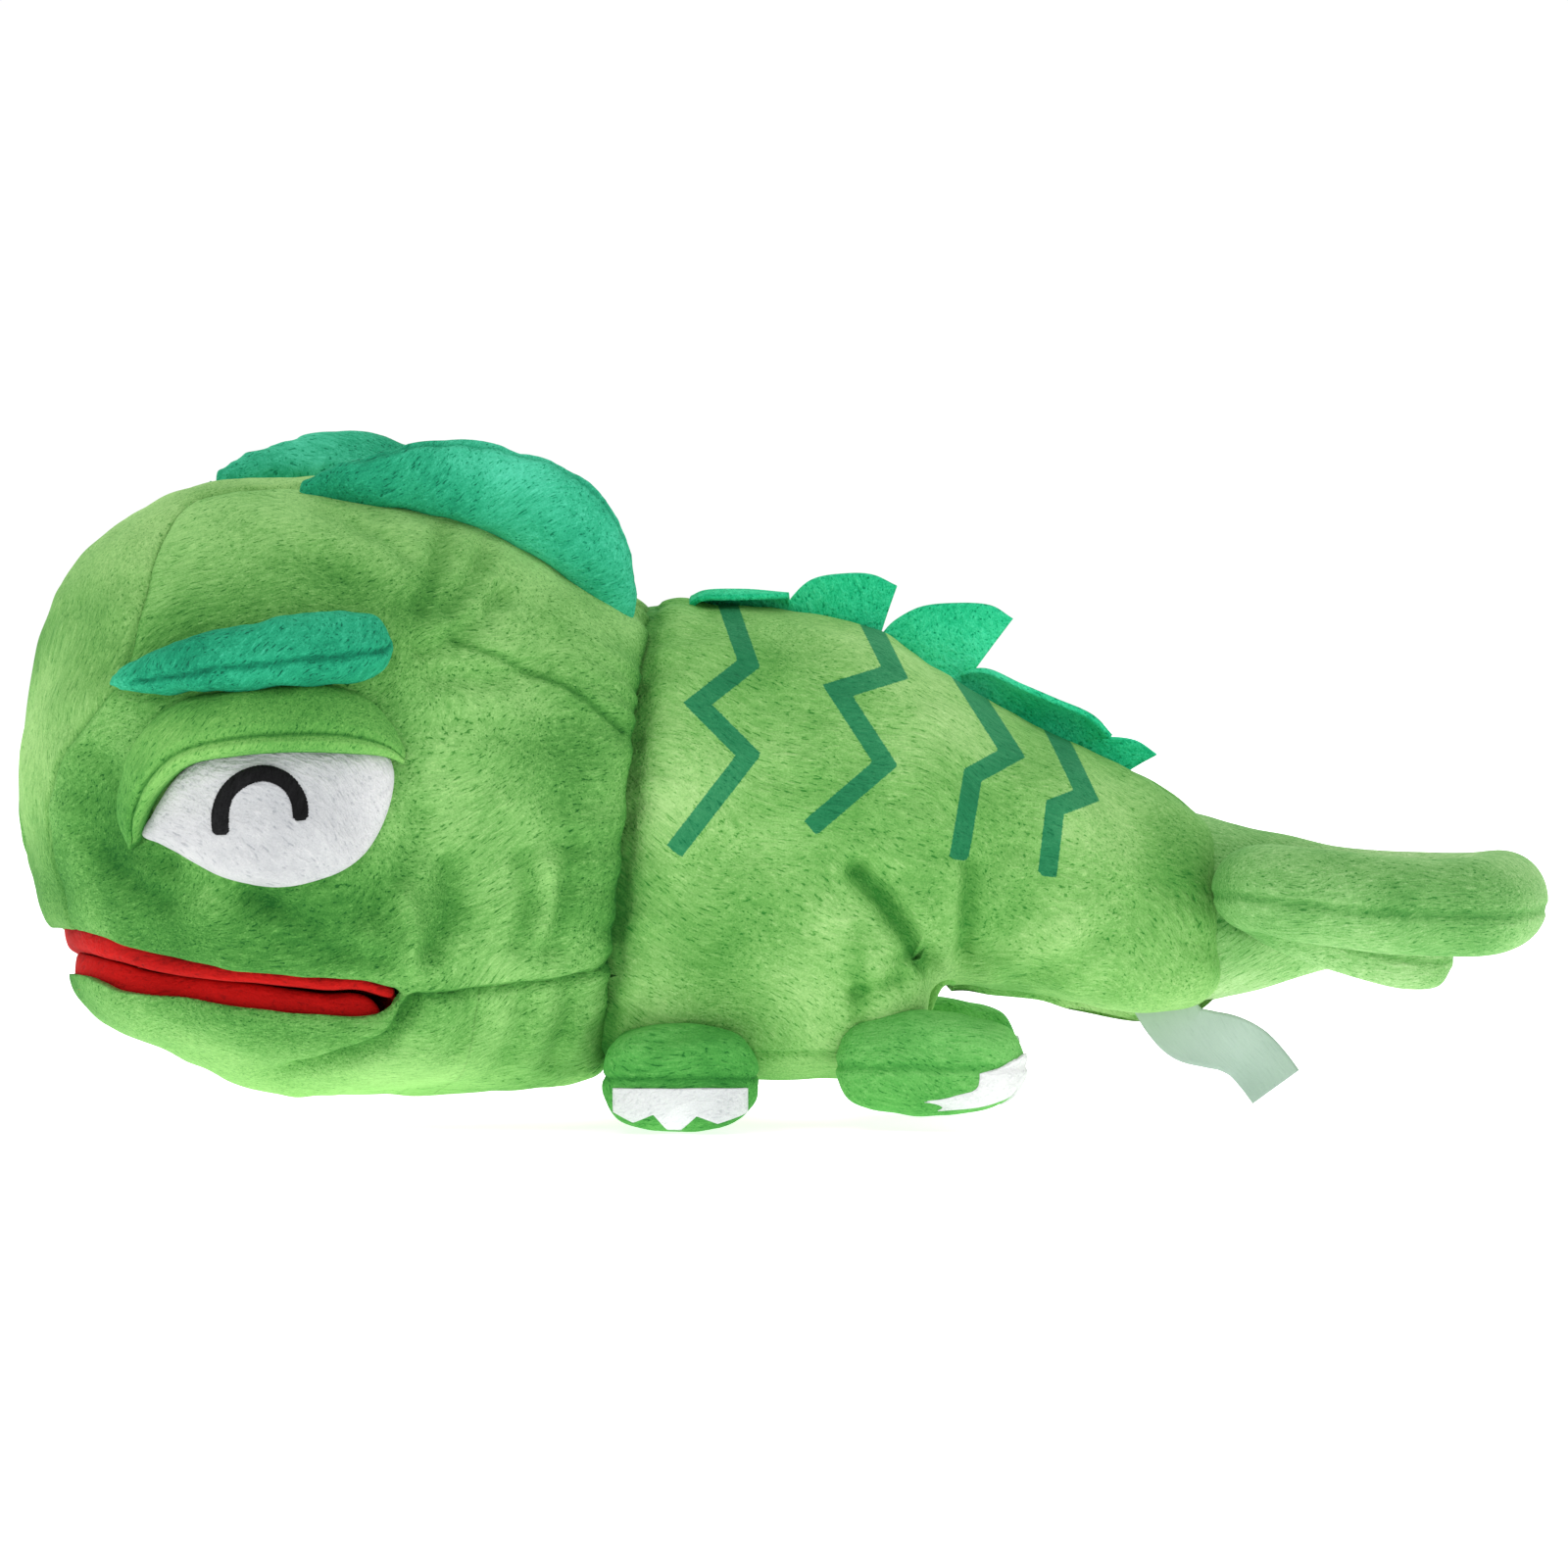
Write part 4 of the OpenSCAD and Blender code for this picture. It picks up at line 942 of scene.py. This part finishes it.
# ---------------------------------------------------------------- felt fins
FINS = [  # foot from and to; upper edge from the first corner to the tip (x, leaning, z); flat size
    ((-24.4, -2), [(-24.9, -11, 121), (-22.8, -14, 122.6), (-13.4, -16, 123), (-2.5, -11, 123.3)], (0.023, 0.017)),
    ((-2.4, 18.7), [(-2.9, 0, 122.2), (2.8, -1.5, 127.4), (11.3, -2.5, 128.9), (17.6, -2.5, 128.6), (23.2, -1.5, 126.2)], (0.026, 0.0165)),
    ((19.2, 38), [(19.8, -0.2, 115), (22.4, -0.6, 117.9), (28.3, -1.2, 121.1), (36.6, -1.6, 122.2), (45.2, -1.6, 121.7), (50.5, -1, 118.6)],
     (0.032, 0.019)),
    ((38.6, 63.2), [(38.2, -2, 105.4), (44, -7, 105.8), (51.6, -9.5, 102.4), (60, -10, 98.8), (68.6, -8, 95), (73.2, -5, 90.4)], (0.035, 0.014)),
    ((63.6, 75.6), [(66.6, -1, 89.6), (71.6, -1.6, 90.2), (79.1, -1.8, 89.6), (84.1, -1.2, 86.4)], (0.018, 0.0105))]


def body_top(x):
    return np.interp(x, BODY_ROWS[:, 0], BODY_ROWS[:, 1])


for number, ((x0, x1), crown, cut) in enumerate(FINS, 1):
    n, m = 60, 24
    u = np.linspace(0, 1, n)
    top = hermite(crown, u)
    foot_x = x0 + u * (x1 - x0)
    foot = np.stack([foot_x, 0 * u, body_top(foot_x) - 2.2], -1)
    k = np.linspace(0, 1, m)[:, None, None]
    bend = np.stack([np.zeros((m, n)), np.zeros((m, n)), np.sin(np.pi * k[..., 0]) * np.abs(top[:, 1])[None] * 0.16], -1)
    lean = np.stack([0 * k[..., 0], k[..., 0] ** 1.5 - k[..., 0], 0 * k[..., 0]], -1) * top[None, :, 1:2]
    flat = (foot + (top - foot) * k + bend + lean).reshape(-1, 3)
    flat[:, 1] += 0.35 * lumps(flat, 13, 80 + number)
    obj = add_mesh(f"felt_fin_{number}", flat, grid_quads(m, n, False), FELT)
    solidify(obj, 1.3)
    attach(obj, "torso")
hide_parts("spine_crest")


# ---------------------------------------------------------------- legs
def front_foot():
    """The left front foot: a short stump pushed out sideways from the body."""
    n, m = 60, 60
    t = np.linspace(0, 1, n)
    y = -25 - 36 * t
    end = np.sqrt(np.clip(1 - ((t - 0.84) / 0.162).clip(0, 1) ** 2.4, 0, 1)) * 0.4 + 0.6
    end = np.where(t > 0.985, end * np.sqrt(np.clip((1.0 - t) / 0.015, 0, 1)), end)
    a = np.linspace(0, 2 * math.pi, m, endpoint=False)
    x = -27.4 + (17.6 * end)[:, None] * power(np.cos(a), 0.5)
    z = 12.8 + ((23.4 - 1.5 * t) * end)[:, None] / 2 * power(np.sin(a), 0.55)
    return np.stack([x, np.repeat(y[:, None], m, 1), z], -1)


def hind_foot():
    """The left hind foot: a paddle that points back along the body."""
    n, m = 64, 56
    t = np.linspace(0.0, 1, n)
    swell = np.sin(np.radians(30 + 126 * t)) ** 0.6 * np.sqrt(np.clip(1.004 - t, 0, 1) / 0.08).clip(0, 1) * np.sqrt(np.clip(t + 0.004, 0, 1) / 0.08).clip(0, 1)
    a = np.linspace(0, 2 * math.pi, m, endpoint=False)
    turn = math.radians(-14)
    x, y = 45.0 * t - 3.5, (10.6 * swell)[:, None] * power(np.cos(a), 0.75)
    return np.stack([12 + x[:, None] * math.cos(turn) - y * math.sin(turn), -38 + x[:, None] * math.sin(turn) + y * math.cos(turn),
                     15.8 + (24.4 * swell)[:, None] / 2 * power(np.sin(a), 0.8) + 0 * y], -1)


def claw_height(s, part, teeth, high, slant):
    """Height on a claw piece: s runs across it from -1 to 1 and part up it, from its toothed edge to its seam."""
    seam = high - slant * abs(s) ** 1.5
    low = max(0.8 + np.interp(s, *zip(*teeth)) * (high - 0.8) - slant * abs(s) ** 1.5, 0.8)
    return low + (seam - low) * part


def same(q):
    return q


CLAWS = {"front": ([(-1, 0.45), (-0.7, 0.2), (-0.4, 0.4), (-0.2, 0.02), (0, 0.0), (0.24, 0.36), (0.55, 0.18), (1, 0.42)], 15.6, 10.9, 0.0),
         "hind": ([(-1, 0.62), (-0.62, 0.36), (-0.34, 0.6), (0, 0.3), (0.34, 0.6), (0.62, 0.36), (1, 0.62)], 8.8, 18.5, 4.5)}
for kind, rings, toe, level in (("front", front_foot(), (0.0, -1.0), 13.0), ("hind", hind_foot(), (math.cos(math.radians(14)), -math.sin(math.radians(14))), 15.4)):
    verts, faces = stuffed(*mesh_of(rings), voxel=2.0, cap=1.6)
    verts, normals, faces = refine(verts, faces)
    seam = bell(verts[:, 2] - level, 0.75)
    verts += normals * (-0.8 * seam + 0.25 * lumps(verts, 9, 91))[:, None]
    verts[:, 2] = np.maximum(verts[:, 2], 0.15)
    pair(f"{kind}_foot", verts, faces, {"shade": 0.3 * seam + 0.08}, same, FOOT_GREEN, kind + "_leg_{}",
         [kind + "_leg_{}", kind + "_leg_fill_{}"])
    tree = BVHTree.FromPolygons(verts.tolist(), faces)
    teeth, half, high, slant = CLAWS[kind]
    n, m = 90, 26
    s = np.linspace(-1, 1, n)
    toe3 = Vector((toe[0], toe[1], 0))
    across3 = Vector((-toe[1], toe[0], 0))
    centre = Vector(verts.mean(0).tolist())
    grid = np.zeros((m, n, 3))
    for i in range(m):
        for j in range(n):
            z = claw_height(s[j], i / (m - 1), teeth, high, slant)
            start = Vector((centre.x, centre.y, z)) + across3 * (s[j] * half) + toe3 * 80
            hit = tree.ray_cast(start, -toe3)[0]
            grid[i, j] = hit + toe3 * 0.9 if hit else (math.nan,) * 3
    for j in range(n):
        good = np.where(~np.isnan(grid[:, j, 0]))[0]
        for i in range(good[0]):
            grid[i, j] = grid[good[0], j]
            grid[i, j, 2] = claw_height(s[j], i / (m - 1), teeth, high, slant)
    inner = grid.reshape(-1, 3)
    claw_faces = grid_quads(m, n, False)
    for side, sign in (("left", 1), ("right", -1)):
        obj = add_mesh(f"{kind}_claws_felt_{side}", inner * np.array([1, sign, 1]), claw_faces, WHITE_FELT, flip=sign < 0)
        solidify(obj, 1.0)
        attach(obj, f"{kind}_leg_{side}")
        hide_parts(f"{kind}_claws_{side}")


# ---------------------------------------------------------------- tail
def tail():
    n, m = 340, 64
    r = hermite(TAIL, np.linspace(0, 1, n))
    d = np.gradient(r[:, :3], axis=0)
    d[:, 2] = 0
    d /= np.linalg.norm(d, axis=1)[:, None]
    side = np.stack([-d[:, 1], d[:, 0], 0 * d[:, 0]], 1)
    a = np.linspace(0, 2 * math.pi, m, endpoint=False)
    c, s = np.cos(a), np.sin(a)
    seam = bell(s + 0.15, 0.07)
    rings = r[:, None, :3] + side[:, None] * ((r[:, 3:4] * c) * (1 - 0.07 * seam))[..., None]
    rings[..., 2] += r[:, 4:5] * s
    flat = rings.reshape(-1, 3)
    flat += lumps(flat, 30, 101)[:, None] * np.array([0.35, 0.35, 0.35])
    return ring_solid("tail_cloth", rings, TAIL_GREEN, {"shade": np.tile(0.3 * seam, (n, 1))}, flip=True)


tail_obj = tail()
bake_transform(tail_obj)
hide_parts("tail_skin", "tail_stuffing")

# ---------------------------------------------------------------- label
n, m = 60, 16
path = hermite([(84.5, 30), (87.6, 25), (91.4, 21.2), (96.5, 19.8), (101, 18.8), (105.6, 16.4), (109.4, 12.4), (112.4, 8.4)], np.linspace(0, 1, n))
along = np.gradient(path, axis=0)
along /= np.linalg.norm(along, axis=1)[:, None]
across = np.stack([along[:, 1], -along[:, 0]], 1)
k = np.linspace(-1, 1, m)
xz = path[:, None] + across[:, None] * (6.75 * k)[None, :, None]
y = -3 - 2.2 * np.sin(np.linspace(0, 5.2, n))[:, None] + 0.8 * np.sin(k * 2)[None] * np.linspace(0, 1, n)[:, None]
label = add_mesh("ribbon_label", np.stack([xz[..., 0], y, xz[..., 1]], -1).reshape(-1, 3), grid_quads(n, m, False), SATIN)
solidify(label, 0.3)
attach(label, "torso")
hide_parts("care_label")

# ---------------------------------------------------------------- CAD nodes that stay in sight, in better cloth
# the lining hangs a little loose inside the body cloth, and meets it at the hem
lining = frame["nodes"]["sleeve_lining"]
lining_at = np.empty(len(lining.data.vertices) * 3)
lining.data.vertices.foreach_get("co", lining_at)
lining_at = (lining_at.reshape(-1, 3) @ np.array(lining.matrix_world.to_3x3()).T + np.array(lining.matrix_world.translation)) * 1000 + ORIGIN
loose = 0.07 * smooth((lining_at[:, 2] - 22) / 12)
lining_at[:, 1] *= 1 - loose
lining_at[:, 2] = 62 + (lining_at[:, 2] - 62) * (1 - loose)
sleeve = add_mesh("sleeve_cloth", lining_at, [list(q.vertices) for q in lining.data.polygons], COTTON)
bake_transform(sleeve)
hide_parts("sleeve_lining")

for key in ("finger_pocket", "thumb_loop"):
    node = frame["nodes"][key]
    node.data.materials.clear()
    node.data.materials.append(COTTON)

# ---------------------------------------------------------------- studio
world = bpy.data.worlds.new("studio")
bpy.context.scene.world = world
world.use_nodes = True
sky = world.node_tree
place = sky.nodes.new("ShaderNodeTexCoord").outputs["Generated"]
split = sky.nodes.new("ShaderNodeSeparateXYZ")
sky.links.new(place, split.inputs["Vector"])
level = sky.nodes.new("ShaderNodeMapRange")
level.inputs["From Min"].default_value, level.inputs["From Max"].default_value = -1, 0.3
level.inputs["To Min"].default_value, level.inputs["To Max"].default_value = 0.42, 1.02
sky.links.new(split.outputs["Y"], level.inputs["Value"])
sky.links.new(level.outputs["Result"], sky.nodes["Background"].inputs["Strength"])
sky.nodes["Background"].inputs["Color"].default_value = (1, 1, 1, 1)
bpy.context.scene.view_settings.view_transform = "Standard"

floor_mat = bpy.data.materials.new("paper")
floor_mat.use_nodes = True
floor_mat.node_tree.nodes["Principled BSDF"].inputs["Base Color"].default_value = (0.93, 0.93, 0.93, 1)
floor_mat.node_tree.nodes["Principled BSDF"].inputs["Emission Color"].default_value = (1, 1, 1, 1)
floor_mat.node_tree.nodes["Principled BSDF"].inputs["Emission Strength"].default_value = 0.75
floor_mat.node_tree.nodes["Principled BSDF"].inputs["Roughness"].default_value = 0.8
floor = add_mesh("floor", np.array([[-6000, -6000, 0], [6000, -6000, 0], [6000, 6000, 0], [-6000, 6000, 0]]) + ORIGIN, [[0, 1, 2, 3]], floor_mat)


def lamp(name, place, aim, size, power_w):
    light = bpy.data.lights.new(name, "AREA")
    light.energy = power_w
    light.size = size
    obj = bpy.data.objects.new(name, light)
    bpy.context.scene.collection.objects.link(obj)
    obj.location = place
    obj.rotation_euler = (Vector(aim) - Vector(place)).to_track_quat("-Z", "Y").to_euler()


lamp("key", (-0.5, -0.9, 1.0), (0, 0, 0.07), 0.5, 3.2)
lamp("fill", (0.9, -0.9, 0.5), (0, 0, 0.07), 0.9, 1.2)
lamp("rim", (0.1, 1.0, 0.7), (0, 0, 0.07), 0.9, 3)

camera = bpy.data.cameras.new("camera")
camera.lens = 260
camera.sensor_width = 36
camera.dof.use_dof = False
cam = bpy.data.objects.new("camera", camera)
bpy.context.scene.collection.objects.link(cam)
bpy.context.scene.camera = cam
AZ, EL, FAR = math.radians(0), math.radians(1.2), 2.64
aim = Vector(row_of([-3.4, -25, 80.2]))
cam.location = aim + Vector((math.sin(AZ) * math.cos(EL), -math.cos(AZ) * math.cos(EL), math.sin(EL))) * FAR
cam.rotation_euler = (aim - cam.location).to_track_quat("-Z", "Y").to_euler()
